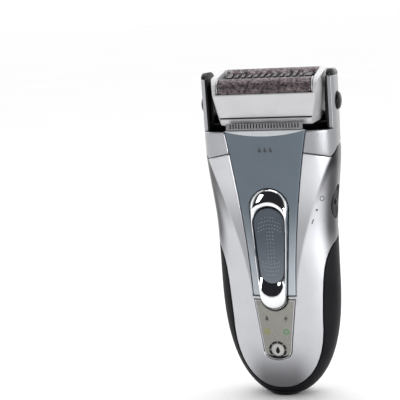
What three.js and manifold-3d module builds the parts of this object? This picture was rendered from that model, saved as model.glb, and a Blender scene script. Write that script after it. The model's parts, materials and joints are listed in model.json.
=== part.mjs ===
// A cordless foil shaver, upright on its foot: millimetres, +Z up, the front faces -Y.
// The origin is on the flat foot under the body, just in front of the power socket.
import * as THREE from "three";
import { mergeVertices } from "three/addons/utils/BufferGeometryUtils.js";
import Module from "manifold-3d";

const wasm = await Module();
wasm.setup();

// ---- Driving dimensions ---------------------------------------------------------------
const BODY_HALF_WIDTH = 28.9; // the straight stretch of the handle
const HEAD_EXTRA_WIDTH = 3.0; // how much wider each side gets towards the head
const BODY_TOP = 130; // top edge of the head collar, between the arms
const WALL = 2.0; // moulded shells
const GAP = 0.3; // running and parting gaps
const FRONT_SLOPE = 0.075; // the front face leans forward this much per mm of height
const TRIMMER_TRAVEL = 11; // the long hair trimmer's slide
const ARM_INNER_X = 28.3; // clear half-width between the lined arms
const LINER = 0.8; // the black lining of the arms
const HEAD_AXIS = new THREE.Vector3(0, -1.5, 134.5); // the head swivels about X here
const HEAD_LEAN = THREE.MathUtils.degToRad(12.5); // the head leans forward at rest
const FOIL_SPACING = 17; // between the crests of the two foils
const FOIL_RADIUS = 4.8;
const FOIL_CREST = 22.1; // height of the crests above the head's axis
const FOIL_HALF_LENGTH = 22.3;
const STROKE = 1.2; // the blades swing this far each way
const MOTOR_RADIUS = 9;

// ---- Colours and finishes -------------------------------------------------------------
const finish = (color, roughness, metalness = 0) =>
  new THREE.MeshStandardMaterial({ color, roughness, metalness });
const SILVER = finish(0xc9cace, 0.32, 0.6);
const SLATE = finish(0x68717b, 0.42, 0.4);
const CHROME = finish(0xe6e8ea, 0.06, 1);
const STEEL = finish(0xb9bbbe, 0.25, 1);
const FOIL = finish(0x6d5d62, 0.35, 0.9);
const BLACK = finish(0x15161a, 0.5);
const RUBBER = finish(0x1b1d22, 0.8);
const LABEL = finish(0xa5a19b, 0.4, 0.3);
const CLEAR = finish(0xe9ece8, 0.05);
const BOARD = finish(0x1e5b35, 0.6);
const CELL = finish(0x3c6fae, 0.45);
const COPPER = finish(0xc79a4b, 0.3, 1);
const YELLOW = finish(0xd8d94a, 0.3);
const GREEN = finish(0x55c05a, 0.3);

// ---- Solids ---------------------------------------------------------------------------
// A closed three.js geometry as a manifold solid, for cutting and joining.
function solid(geometry) {
  const bare = new THREE.BufferGeometry();
  bare.setAttribute("position", geometry.getAttribute("position"));
  if (geometry.index) bare.setIndex(geometry.index);
  const merged = mergeVertices(bare, 1e-4);
  return new wasm.Manifold(
    new wasm.Mesh({
      numProp: 3,
      vertProperties: new Float32Array(merged.attributes.position.array),
      triVerts: new Uint32Array(merged.index.array),
    }),
  );
}

const part = (name, shape, material) => {
  const mesh = shape.getMesh();
  const geometry = new THREE.BufferGeometry();
  geometry.setAttribute("position", new THREE.BufferAttribute(mesh.vertProperties, 3));
  geometry.setIndex(new THREE.BufferAttribute(mesh.triVerts, 1));
  geometry.computeVertexNormals();
  const made = new THREE.Mesh(geometry, material);
  made.name = name;
  return made;
};

const join = (...shapes) => shapes.reduce((a, b) => a.add(b));
const cut = (shape, ...tools) => tools.reduce((a, b) => a.subtract(b), shape);
const common = (...shapes) => shapes.reduce((a, b) => a.intersect(b));

function box(x0, x1, y0, y1, z0, z1) {
  const g = new THREE.BoxGeometry(x1 - x0, y1 - y0, z1 - z0);
  return solid(g.translate((x0 + x1) / 2, (y0 + y1) / 2, (z0 + z1) / 2));
}

// A round bar along axis "x", "y" or "z", from one coordinate to another on that axis.
function rod(axis, radius, from, to, [u, v], sides = 20) {
  const g = new THREE.CylinderGeometry(radius, radius, to - from, sides);
  const middle = (from + to) / 2;
  if (axis === "x") return solid(g.rotateZ(-Math.PI / 2).translate(middle, u, v));
  if (axis === "y") return solid(g.translate(u, middle, v));
  return solid(g.rotateX(Math.PI / 2).translate(u, v, middle));
}

// Prisms of a flat outline: drawn in x and z and pushed along y, and drawn in y and z and pushed along x.
const prism = (shape, depth) =>
  new THREE.ExtrudeGeometry(shape, { depth, bevelEnabled: false, curveSegments: 6 });
const prismAlongY = (shape, y0, y1) =>
  solid(prism(shape, y1 - y0).rotateX(Math.PI / 2).translate(0, y1, 0));
const yzToWorld = new THREE.Matrix4().set(0, 0, 1, 0, 1, 0, 0, 0, 0, 1, 0, 0, 0, 0, 0, 1);
const prismAlongX = (shape, x0, x1) =>
  solid(prism(shape, x1 - x0).applyMatrix4(yzToWorld).translate(x0, 0, 0));

const polygon = (points) => new THREE.Shape(points.map(([x, y]) => new THREE.Vector2(x, y)));

// A closed skin through rings of equal length, stacked from the bottom up, with flat ends.
function loft(rings) {
  const count = rings[0].length;
  const position = rings.flat().flatMap((p) => [p.x, p.y, p.z]);
  const index = [];
  for (let k = 0; k + 1 < rings.length; k++)
    for (let i = 0; i < count; i++) {
      const [a, b] = [k * count + i, k * count + ((i + 1) % count)];
      index.push(a, b, b + count, a, b + count, a + count);
    }
  const cap = THREE.ShapeUtils.triangulateShape(
    rings[0].map((p) => new THREE.Vector2(p.x, p.y)),
    [],
  );
  const last = (rings.length - 1) * count;
  for (const [a, b, c] of cap) index.push(c, b, a, last + a, last + b, last + c);
  const g = new THREE.BufferGeometry();
  g.setAttribute("position", new THREE.Float32BufferAttribute(position, 3));
  return solid(g.setIndex(index));
}

// ---- The body's outer form ------------------------------------------------------------
const smooth = (low, high, z) => THREE.MathUtils.smoothstep(z, low, high);

const halfWidth = (z) => {
  const round = z < 60 ? (1 - ((60 - z) / 61) ** 2.6) ** (1 / 2.2) : 1;
  return BODY_HALF_WIDTH * round + HEAD_EXTRA_WIDTH * smooth(82, 122, z);
};
const frontY = (z) => -14.6 - FRONT_SLOPE * (z - 45) + (z < 45 ? 5 * ((45 - z) / 45) ** 4 : 0);
const backY = (z) => 14.8 - 3.8 * smooth(50, 112, z) - (z < 30 ? 5.8 * ((30 - z) / 30) ** 3 : 0);
const widestY = (z) => 3.5 - 0.07 * z;
const squareness = (z) => 2.4 + 0.6 * smooth(60, 118, z);

// A crease runs from each side near the head down to the panel. Behind it the side is scooped for the fingers.
const creaseX = (z) => 10.4 + 21.6 * Math.max(0, (z - 52) / 72) ** 1.45;
const scoopDepth = (z) => 1.5 * smooth(58, 88, z) * (1 - smooth(98, 122, z));

// One ring of the body at height z, set in from its skin, counter-clockwise from above.
const RING_POINTS = 28;
function ring(z, inset) {
  const half = halfWidth(z) - inset;
  const [front, back, side] = [frontY(z) + inset, backY(z) - inset, widestY(z)];
  const power = 2 / squareness(z);
  const crease = creaseX(z);
  return Array.from({ length: RING_POINTS }, (_, i) => {
    const angle = (2 * Math.PI * i) / RING_POINTS;
    const [c, s] = [Math.cos(angle), Math.sin(angle)];
    const x = half * Math.sign(c) * Math.abs(c) ** power;
    const reach = Math.abs(s) ** power;
    if (s > 0) return new THREE.Vector3(x, side + (back - side) * reach, z);
    const across = THREE.MathUtils.clamp((Math.abs(x) - crease) / Math.max(half - crease, 1), 0, 1);
    const scoop = scoopDepth(z) * 4 * across * (1 - across);
    return new THREE.Vector3(x, side + (front - side) * reach + scoop, z);
  });
}

const RING_HEIGHTS = [0, 1.2, 3, 6, 10, 15, 22, 32, 45, 62, 76, 88, 98, 108, 116, 123, 130, 144, 158];
function bodyForm(inset, bottom = 0, top = 158) {
  const between = RING_HEIGHTS.filter((z) => z > bottom + 0.4 && z < top - 0.4);
  return loft([bottom, ...between, top].map((z) => ring(z, inset)));
}
// The layer of the body between two depths under its skin.
const layer = (outer, inner) => cut(bodyForm(outer), bodyForm(inner, inner + 0.4, 158));

// ---- Outlines on the front ------------------------------------------------------------
const PANEL_BOTTOM = 51.6;
const PANEL_TOP = BODY_TOP + 0.6;
const panelHalf = (z) => 10.2 + 9 * (Math.max(z - 45, 0) / 85) ** 1.7;

function panelOutline(grow, bottom, top) {
  const steps = 9;
  const heights = Array.from({ length: steps + 1 }, (_, i) => bottom + ((top - bottom) * i) / steps);
  const right = heights.map((z) => [panelHalf(z) + grow, z]);
  const left = heights.map((z) => [-panelHalf(z) - grow, z]).reverse();
  return polygon([...right, ...left]);
}

// The outline round two circles, one above the other, with straight tangent sides.
function dropOutline(low, lowRadius, high, highRadius) {
  const lift = Math.asin((lowRadius - highRadius) / (high - low));
  const shape = new THREE.Shape();
  shape.absarc(0, high, highRadius, lift, Math.PI - lift);
  shape.absarc(0, low, lowRadius, Math.PI - lift, 2 * Math.PI + lift);
  return shape;
}
const BEZEL = { low: 50.8, lowRadius: 6.2, high: 94, highRadius: 9.2 };
const bezelOutline = (grow) =>
  dropOutline(BEZEL.low, BEZEL.lowRadius + grow, BEZEL.high, BEZEL.highRadius + grow);
const PAD = { low: 63.7, lowRadius: 5.8, high: 87, highRadius: 7.5 };
const padOutline = (grow) => dropOutline(PAD.low, PAD.lowRadius + grow, PAD.high, PAD.highRadius + grow);

// The display narrows downwards to a round end, and its top is hollowed round the bezel's tail.
function displayShape(grow) {
  const [top, bottom, topHalf, lowHalf, lowZ] = [49.5, 18, 9.9, 6.7, 24.5];
  const shape = new THREE.Shape();
  shape.moveTo(-topHalf - grow, top + grow);
  shape.lineTo(-lowHalf - grow, lowZ);
  shape.bezierCurveTo(-lowHalf - grow, bottom - grow, lowHalf + grow, bottom - grow, lowHalf + grow, lowZ);
  shape.lineTo(topHalf + grow, top + grow);
  return shape;
}
const displayPrism = (grow, y0, y1) =>
  cut(prismAlongY(displayShape(grow), y0, y1), prismAlongY(bezelOutline(0.6 - grow), y0 - 1, y1 + 1));

// ---- Where the shells part ------------------------------------------------------------
// Below the waist the silver front is a tongue set inside the black housing; above, it reaches round to the sides.
const TONGUE_BOTTOM = 4.6;
const WAIST = 78;
const tongueHalf = (z) =>
  z < 40
    ? 22 * (1 - ((40 - z) / (40 - TONGUE_BOTTOM)) ** 2.4) ** (1 / 2.2)
    : 22 + 2 * ((z - 40) / 36) + 4.2 * ((z - 40) / 36) ** 5;
function tongueOutline(grow) {
  const heights = [TONGUE_BOTTOM, 5.2, 6.5, 9, 13, 19, 28, 40, 50, 60, 67, 72, 75.5, WAIST];
  const right = heights.map((z) => [tongueHalf(z) + (z > 5 ? grow : 0), z - (z <= 5 ? grow : 0)]);
  const sides = [...right, [60, WAIST], [60, 200]];
  const mirrored = sides.slice(1).map(([x, z]) => [-x, z]).reverse();
  return polygon([...sides, ...mirrored]);
}
// The parting line on the sides, as y and z, from the waist up to the silver front's pointed tips.
const TIP = [0.6, 124];
const sideParting = (grow) =>
  [[-1, 0], [-1, WAIST], [1, 80.5], [3.2, 84], [4.3, 90], [4.5, 104], [4.2, 113]].map(([y, z]) => [y + grow, z]);
const silverFront = (grow) =>
  common(
    prismAlongY(tongueOutline(grow), -60, 60),
    prismAlongX(polygon([[-60, 0], ...sideParting(grow), [TIP[0] + grow, TIP[1]], [-60, TIP[1]]]), -60, 60),
  );
const tipPrism = (grow) =>
  prismAlongX(
    polygon([[-13.2 - grow, 110], [4.3 + grow, 110], [4.2 + grow, 113], [TIP[0] + grow, TIP[1] + grow],
      [-8.3 - grow, 121.6 + grow], [-13.2 - grow, 117 + grow]]),
    -60, 60,
  );
// The seam between the handle and the head collar is an arc, lower at the sides.
const SEAM_MIDDLE = 121.2;
const SEAM_SIDE = 113.6;
function belowSeam(shift) {
  const shape = new THREE.Shape();
  shape.moveTo(-40, -10);
  shape.lineTo(40, -10);
  shape.lineTo(40, SEAM_SIDE + shift);
  shape.quadraticCurveTo(0, 2 * SEAM_MIDDLE - SEAM_SIDE + shift, -40, SEAM_SIDE + shift);
  return prismAlongY(shape, -60, 60);
}

// ---- The three shells -----------------------------------------------------------------
const SOCKET = { x: 5, y0: 1.8, y1: 7.2 };
const SWITCH = { y: -4.3, z: 95, halfY: 5.2, halfZ: 7.9 };
const RELEASE = { y: -5.5, z: 142.5, radius: 4.1, travel: 1.4 };
const SCREWS = [[-15, 24], [15, 24], [-17, 104], [17, 104]];
const CONTACTS = [-6, 6];
const CONTACT_Z = 34;
const FOOT_CAP = 2.3; // thickness of the cap round the power socket
const TRAY = 4.0; // the slide channel's floor ends this deep under the skin

const ellipse = (y, z, halfY, halfZ) => new THREE.Shape().absellipse(y, z, halfY, halfZ, 0, 2 * Math.PI);
const roundedSlot = (halfX, y0, y1, z0, z1) => {
  const r = (y1 - y0) / 2;
  const shape = new THREE.Shape();
  shape.absarc(-halfX + r, (y0 + y1) / 2, r, Math.PI / 2, 1.5 * Math.PI);
  shape.absarc(halfX - r, (y0 + y1) / 2, r, -Math.PI / 2, Math.PI / 2);
  return solid(prism(shape, z1 - z0).translate(0, 0, z0));
};

// The slide's channel: the panel's place cut from the front, with a tray behind it.
function withChannel(shell) {
  const opening = prismAlongY(panelOutline(GAP, PANEL_BOTTOM - GAP, 170), -60, 0);
  const tray = common(layer(1.4, TRAY), prismAlongY(panelOutline(1.6, PANEL_BOTTOM - 1.8, BODY_TOP), -60, 0));
  const room = common(bodyForm(-2), prismAlongY(panelOutline(GAP, PANEL_BOTTOM - GAP, 170), -60, 0));
  const stemSlot = box(-3.4, 3.4, -30, 0, 66, 66 + 8 + TRIMMER_TRAVEL);
  return cut(join(cut(shell, opening), cut(tray, cut(room, bodyForm(2.6, 1, 158)))), stemSlot);
}

function makeShells() {
  const handle = cut(bodyForm(0), bodyForm(WALL, WALL + 0.4, 158));
  const screwHoles = SCREWS.map(([x, z]) => rod("y", 2.5, 0, 30, [x, z]));
  const contactHoles = CONTACTS.map((x) => rod("y", 2.8, 5, 30, [x, CONTACT_Z]));
  const socketHole = roundedSlot(SOCKET.x, SOCKET.y0, SOCKET.y1, -1, 4);
  const switchHole = prismAlongX(ellipse(SWITCH.y, SWITCH.z, SWITCH.halfY + GAP, SWITCH.halfZ + GAP), 10, 40);

  const front = cut(
    withChannel(common(handle, silverFront(0))),
    prismAlongY(bezelOutline(0.6), -60, frontY(50) + 3.2),
  );
  const upTo = join(belowSeam(0), tipPrism(0));
  const frontShell = cut(common(front, upTo), displayPrism(GAP, -60, 0), switchHole);

  const belowCap = box(-60, 60, -60, 60, -1, FOOT_CAP + GAP);
  const rear = cut(common(handle, belowSeam(0)), silverFront(GAP), tipPrism(GAP), belowCap, switchHole, ...screwHoles, ...contactHoles);
  const cap = cut(bodyForm(0, 0, FOOT_CAP), socketHole);

  return [
    part("front_shell", frontShell, SILVER),
    part("rear_housing", rear, RUBBER),
    part("foot_cap", cap, BLACK),
  ];
}

// The arm's outline from the side, leaning forward with a round top.
function armOutline() {
  const shape = new THREE.Shape();
  shape.moveTo(-17.2, 124);
  shape.lineTo(-18.2, 148.3);
  shape.bezierCurveTo(-18.4, 155.3, -13.5, 157.9, -8.5, 157.9);
  shape.bezierCurveTo(0, 157.9, 4.6, 153.3, 6.2, 146.3);
  shape.bezierCurveTo(7.4, 139, 9, 134, 9.6, 124);
  return shape;
}

// The arms' black caps sit above this height.
const CAP_Z = 154.5;
const armForm = () => common(bodyForm(0, 124, 158), prismAlongX(armOutline(), -60, 60));
const between = (half, z0 = 110, z1 = 170) => box(-half, half, -60, 60, z0, z1);
const axleHole = () => rod("x", 1.58, -29.9, 29.9, [HEAD_AXIS.y, HEAD_AXIS.z], 16);
const swivelRoom = () => rod("x", 8.5, -ARM_INNER_X, ARM_INNER_X, [HEAD_AXIS.y, HEAD_AXIS.z], 28);
const releaseHole = () => rod("x", RELEASE.radius + GAP, -60, 60, [RELEASE.y, RELEASE.z]);

function makeCollar() {
  const collarWall = cut(bodyForm(0, 100, BODY_TOP), bodyForm(WALL, 99, BODY_TOP + 1));
  const walls = cut(withChannel(collarWall), belowSeam(GAP), box(-60, 60, -60, 60, BODY_TOP, 200));
  const silverArms = cut(
    armForm(),
    between(ARM_INNER_X + LINER + 0.1),
    box(-60, 60, -60, 60, CAP_Z, 200),
    box(-60, 60, -60, 60, 100, BODY_TOP - 1),
  );
  const holes = [axleHole(), releaseHole(), swivelRoom(), tipPrism(GAP)];
  const collar = cut(join(walls, silverArms), ...holes);
  return part("head_collar", cut(collar, box(-60, 60, -60, 60, 0, 113)), SILVER);
}

// The black deck between the arms, with their inner linings and round caps in one piece.
function makeLiner() {
  const deck = cut(
    bodyForm(WALL + GAP, 123, 126),
    prismAlongY(panelOutline(3, PANEL_BOTTOM, 170), -60, frontY(123) + TRAY + 1.8),
    rod("z", 3.6, 120, 130, [HEAD_AXIS.x, HEAD_AXIS.y]),
  );
  const lining = cut(common(armForm(), between(ARM_INNER_X + LINER, 125.5)), between(ARM_INNER_X));
  const below = box(-60, 60, -60, 60, 100, BODY_TOP + GAP);
  const linings = join(cut(lining, below), common(lining, below, bodyForm(WALL + GAP, 123, 132)));
  const caps = common(cut(armForm(), between(ARM_INNER_X)), box(-60, 60, -60, 60, CAP_Z + 0.1, 200));
  const holes = [axleHole(), releaseHole(), swivelRoom(), tipPrism(GAP)];
  return part("arm_lining", cut(join(deck, linings, caps), ...holes), BLACK);
}

// ---- Foot, socket, display and electronics --------------------------------------------
function makePower() {
  const well = roundedSlot(SOCKET.x - 0.3, SOCKET.y0 + 0.3, SOCKET.y1 - 0.3, 1, 10);
  const block = cut(box(-6.6, 6.6, 1.2, 7.5, WALL + 0.8, 14), well);
  const pinX = 3.4;
  const pinY = (SOCKET.y0 + SOCKET.y1) / 2;
  const pins = [-pinX, pinX];
  return [
    part("power_socket", cut(block, ...pins.map((x) => rod("z", 1.0, 9, 20, [x, pinY], 16))), BLACK),
    ...pins.map((x, i) => part(`socket_pin_${i + 1}`, rod("z", 0.8, 2, 15, [x, pinY], 16), COPPER)),
  ];
}

const LED_X = 4.7;
const LED_Z = 33.7;
const BOARD_Y = -8.4;
const BOARD_THICKNESS = 1.2;

function makeDisplay() {
  const lens = common(layer(0.1, 1.6), displayPrism(0, -60, 0));
  const ledHoles = [-LED_X, LED_X].map((x) => rod("y", 1.7, -20, 0, [x, LED_Z], 16));
  const plate = common(layer(1.9, 2.4), displayPrism(-0.6, -60, 0));
  const led = (x) => rod("y", 1.4, frontY(LED_Z) + 2.0, BOARD_Y - BOARD_THICKNESS - 0.1, [x, LED_Z], 16);
  return [
    part("display_lens", lens, CLEAR),
    part("display_plate", cut(plate, ...ledHoles), LABEL),
    part("clean_light", led(-LED_X), YELLOW),
    part("charge_light", led(LED_X), GREEN),
  ];
}

function makeElectronics() {
  const board = box(-9.5, 9.5, BOARD_Y - BOARD_THICKNESS, BOARD_Y, 24, 73);
  const chip = (name, x, z, w, h, t) =>
    part(name, box(x - w / 2, x + w / 2, BOARD_Y + 0.05, BOARD_Y + t, z - h / 2, z + h / 2), BLACK);
  const chassis = cut(
    box(-14, 14, -5.6, -4.2, 20, 73.5),
    box(-6, 6, -7, -3, 26, 44),
    box(-6, 6, -7, -3, 50, 66),
  );
  const [cellX, cellY, cellRadius] = [7.5, 3.4, 7.1];
  const cells = [["battery_left", -cellX], ["battery_right", cellX]].map(([name, x]) =>
    part(name, join(rod("z", cellRadius, 19, 66.5, [x, cellY]), rod("z", 2.6, 66, 67.8, [x, cellY])), CELL),
  );
  const tab = box(-11, 11, cellY - 2, cellY + 2, 68.1, 68.5);
  return [
    part("circuit_board", board, BOARD),
    chip("charge_controller", 0, 58, 7, 7, 1.4),
    chip("charging_coil", 0, 35, 10, 10, 2.3),
    part("inner_chassis", chassis, BLACK),
    ...cells,
    part("battery_link", tab, STEEL),
    ...CONTACTS.map((x, i) =>
      part(
        `station_contact_${i + 1}`,
        rod("y", 2.5, backY(CONTACT_Z) - 4, backY(CONTACT_Z) - 0.1, [x, CONTACT_Z]),
        STEEL,
      ),
    ),
  ];
}

function makeScrews() {
  return SCREWS.map(([x, z], i) => {
    const depth = (n) => ring(z, n).filter((p) => p.y > 0 && p.x > 0);
    const near = depth(WALL).reduce((a, b) => (Math.abs(b.x - Math.abs(x)) < Math.abs(a.x - Math.abs(x)) ? b : a));
    const face = near.y + WALL - 0.6;
    const slot = box(x - 1.6, x + 1.6, face - 0.5, face + 1, z - 0.3, z + 0.3);
    const head = rod("y", 2.2, face - 1.2, face, [x, z], 18);
    const shank = rod("y", 1.0, face - 6, face - 1.1, [x, z], 12);
    return part(`housing_screw_${i + 1}`, cut(join(head, shank), slot), STEEL);
  });
}

// ---- Motor and drive ------------------------------------------------------------------
function makeDrive() {
  const at = [HEAD_AXIS.x, HEAD_AXIS.y];
  const can = join(rod("z", MOTOR_RADIUS, 78, 104, at, 32), rod("z", 3, 103, 105.5, at));
  const endCap = join(rod("z", MOTOR_RADIUS, 75.2, 77.7, at, 32), rod("z", 2.5, 74.2, 76, at));
  const cradle = cut(box(-15, 15, -11.5, 6.8, 99, 101.5), rod("z", MOTOR_RADIUS + GAP, 90, 110, at, 32));
  const shaft = join(rod("z", 1, 105.8, 108.5, at, 16), rod("z", 3.6, 108, 110.5, at));
  const crank = rod("z", 0.8, 110, 113.2, [at[0] + STROKE, at[1]], 12);
  // The crank's slot is opened wider than its pin, because the two are not linked here.
  const crankRoom = 2 * STROKE + 0.8 + GAP;
  const bar = cut(
    box(-13, 13, at[1] - 5, at[1] + 5, 111.4, 113.4),
    box(-crankRoom, crankRoom, at[1] - 2.6, at[1] + 2.6, 110, 115),
  );
  const bridgeTop = join(bar, box(-5.5, 5.5, at[1] - 5, at[1] - 3, 113, 116.4), box(-5.5, 5.5, at[1] + 3, at[1] + 5, 113, 116.4));
  const bridge = join(bridgeTop, box(-5.5, 5.5, at[1] - 5, at[1] + 5, 115, 117.4));
  const pin = join(
    rod("z", 1.6, 117.7, 137.6, at, 16),
    solid(new THREE.SphereGeometry(1.9, 12, 8).rotateX(Math.PI / 2).translate(at[0], at[1], 138)),
  );
  const seal = cut(
    join(rod("z", 6.4, 118.6, 119.6, at, 28), rod("z", 4.4, 118.6, 122.6, at, 28)),
    rod("z", 3.1, 110, 130, at, 28),
  );
  return [
    part("motor_can", can, STEEL),
    part("motor_end_cap", endCap, BLACK),
    part("motor_cradle", cradle, BLACK),
    part("motor_shaft", join(shaft, crank), STEEL),
    part("drive_bridge", bridge, BLACK),
    part("drive_pin", pin, STEEL),
    part("drive_seal", seal, RUBBER),
  ];
}

// ---- Buttons --------------------------------------------------------------------------
function makeButtons() {
  const button = join(
    prismAlongX(ellipse(SWITCH.y, SWITCH.z, SWITCH.halfY, SWITCH.halfZ), 25.6, 28.3),
    rod("x", 1.2, 28.1, 29.7, [SWITCH.y, SWITCH.z], 16),
  );
  const switchBox = join(
    box(20.6, 23.2, SWITCH.y - 3, SWITCH.y + 3, SWITCH.z - 3, SWITCH.z + 3),
    rod("x", 1.2, 23, 24.2, [SWITCH.y, SWITCH.z], 16),
  );
  const board = box(18.8, 20.3, -7, 4, 84, 98.5);
  const release = (side) => {
    const body = rod("x", RELEASE.radius, 30, 32, [RELEASE.y, RELEASE.z]);
    const dome = new THREE.SphereGeometry(RELEASE.radius, 20, 8).scale(0.42, 1, 1);
    const cap = common(solid(dome.translate(31.9, RELEASE.y, RELEASE.z)), box(31.5, 40, -60, 60, 0, 200));
    return side > 0 ? join(body, cap) : join(body, cap).mirror([1, 0, 0]);
  };
  return [
    part("start_stop_button", button, BLACK),
    part("start_stop_switch", switchBox, BLACK),
    part("switch_board", board, BOARD),
    part("release_button_left", release(-1), BLACK),
    part("release_button_right", release(1), BLACK),
  ];
}

// ---- The long hair trimmer and its slide ----------------------------------------------
function makeTrimmerSlide() {
  const panel = common(layer(0.1, 2.0), prismAlongY(panelOutline(0, PANEL_BOTTOM, PANEL_TOP), -60, 0));
  const tilt = Math.atan(FRONT_SLOPE);
  // Pieces on the panel are drawn upright, pushed along y, then leaned with the front face.
  const lean = (shape, z = 70) =>
    shape.translate([0, -frontY(z), -z]).rotate([THREE.MathUtils.radToDeg(tilt), 0, 0]).translate([0, frontY(z), z]);
  const face = frontY(70);
  const bezelBody = prismAlongY(bezelOutline(0), face - 2.8, face + 2);
  const padPocket = prismAlongY(padOutline(GAP), face - 10, face - 1.4);
  const bezel = lean(cut(bezelBody, padPocket));
  const pad = lean(prismAlongY(padOutline(0), face - 2.5, face - 1.7));
  const bezelSeat = lean(prismAlongY(bezelOutline(GAP), face - 10, face + 2.3));
  const stem = lean(box(-3, 3, face + 2.2, face + 5, 66.4, 73.6));
  const shoe = lean(box(-7.5, 7.5, face + 4.4, face + 5.6, 62, 78));

  const combY = frontY(BODY_TOP) + 0.9;
  const plate = (half, y0, y1, z0, z1, toothZ, pitch, width) => {
    const count = Math.floor((2 * half - 1) / pitch);
    const slots = Array.from({ length: count - 1 }, (_, i) => {
      const x = (i - (count - 2) / 2) * pitch;
      return box(x - width / 2, x + width / 2, y0 - 1, y1 + 1, toothZ, z1 + 1);
    });
    return cut(box(-half, half, y0, y1, z0, z1), ...slots);
  };
  const comb = plate(18.2, combY, combY + 0.6, PANEL_TOP + 0.3, 134, 131.6, 1.4, 0.6);
  const blade = plate(16.8, combY + 0.8, combY + 1.3, PANEL_TOP + 0.6, 133.6, 131.8, 1.6, 0.8);
  return [
    part("trimmer_slide_panel", cut(panel, bezelSeat), SLATE),
    part("slide_bezel", bezel, CHROME),
    part("thumb_pad", pad, SLATE),
    part("slide_shoe", join(stem, shoe), BLACK),
    part("trimmer_comb", comb, STEEL),
    part("trimmer_blade", blade, STEEL),
  ];
}

// ---- The head: everything here is drawn upright about the swivel axis, then leaned ------
const FRAME = { bottom: 1.4, top: 16.2, depth: 14.2, wall: 0.7, endInner: 23.2, endTop: 22.4 };
const FRAME_END = { topX: 26.2, lowX: 24.4, cornerTop: 24.5, cornerLow: 21.5, cornerY: 7.5 };

// The cassette frame's outline from above, at a share of its height: flat faces with wide chamfers at the corners.
function framePlan(z, grow) {
  const share = Math.min((z - FRAME.bottom) / (FRAME.top - FRAME.bottom), 1);
  const end = THREE.MathUtils.lerp(FRAME_END.lowX, FRAME_END.topX, share) + grow;
  const corner = THREE.MathUtils.lerp(FRAME_END.cornerLow, FRAME_END.cornerTop, share) + grow;
  const [depth, chamfer] = [FRAME.depth + grow, FRAME_END.cornerY];
  const quarter = [[end, chamfer], [corner, depth]];
  const back = [...quarter, ...quarter.map(([x, y]) => [-x, y]).reverse()];
  const front = back.map(([x, y]) => [-x, -y]);
  return [...back, ...front].map(([x, y]) => new THREE.Vector3(x, y, z));
}

// An arch along x: a half-round top on straight sides.
function arch(y, radius, crest, foot, x0, x1) {
  const shape = new THREE.Shape();
  shape.moveTo(y + radius, foot);
  shape.lineTo(y + radius, crest - radius);
  shape.absarc(y, crest - radius, radius, 0, Math.PI);
  shape.lineTo(y - radius, foot);
  return prismAlongX(shape, x0, x1);
}

function makeCassette() {
  const stack = (grow, ...heights) => loft(heights.map((z) => framePlan(z, grow)));
  const room = common(
    stack(-FRAME.wall, FRAME.bottom - 1, FRAME.top, FRAME.endTop + 1),
    box(-FRAME.endInner, FRAME.endInner, -20, 20, -5, 30),
  );
  // Each end stands up beyond the front and back walls, beside the foils.
  const endOutline = new THREE.Shape();
  endOutline.moveTo(-14, FRAME.bottom);
  endOutline.lineTo(-14, FRAME.top);
  endOutline.bezierCurveTo(-13.4, 19.6, -10.2, FRAME.endTop, -6.6, FRAME.endTop);
  endOutline.lineTo(6.6, FRAME.endTop);
  endOutline.bezierCurveTo(10.2, FRAME.endTop, 13.4, 19.6, 14, FRAME.top);
  endOutline.lineTo(14, FRAME.bottom);
  const grooves = [-1, 1].map((side) => {
    const [y0, y1] = side > 0 ? [FRAME.depth - 0.35, 16] : [-16, -FRAME.depth + 0.35];
    return box(-30, 30, y0, y1, 4.4, 5.2);
  });
  const frame = cut(
    common(stack(0, FRAME.bottom, FRAME.top, FRAME.endTop), prismAlongX(endOutline, -30, 30)),
    room,
    box(-FRAME.endInner, FRAME.endInner, -20, 20, FRAME.top, 30),
    ...grooves,
  );
  const foilY = FOIL_SPACING / 2;
  const foil = (y) => {
    const sheet = cut(
      arch(y, FOIL_RADIUS, FOIL_CREST, 15, -FOIL_HALF_LENGTH, FOIL_HALF_LENGTH),
      arch(y, FOIL_RADIUS - 0.4, FOIL_CREST - 0.4, 10, -FOIL_HALF_LENGTH - 1, FOIL_HALF_LENGTH + 1),
    );
    return sheet;
  };
  const clip = (y, side) => {
    const [x0, x1] = side > 0 ? [22.4, 22.9] : [-22.9, -22.4];
    return arch(y, FOIL_RADIUS - 0.6, FOIL_CREST + 0.2, FRAME.top + GAP, x0, x1);
  };
  const foilClips = [["front", -foilY], ["rear", foilY]].flatMap(([name, y]) => [
    part(`${name}_foil_clip_left`, clip(y, -1), SILVER),
    part(`${name}_foil_clip_right`, clip(y, 1), SILVER),
  ]);
  const comb = cut(
    box(-20.5, 20.5, -2.3, 2.3, 14.6, 21.2),
    box(-30, 30, -1.8, 1.8, 10, 20.7),
    ...Array.from({ length: 12 }, (_, i) => box(-18 + i * 3.1, -16.4 + i * 3.1, -3, 3, 18.6, 22)),
  );
  const centreBlade = box(-19, 19, -1.5, 1.5, 14.8, 20.4);
  return [
    part("cassette_frame", frame, SILVER),
    part("front_foil", foil(-foilY), FOIL),
    part("rear_foil", foil(foilY), FOIL),
    ...foilClips,
    part("centre_comb", comb, STEEL),
    part("centre_blade", centreBlade, STEEL),
  ];
}

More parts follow.
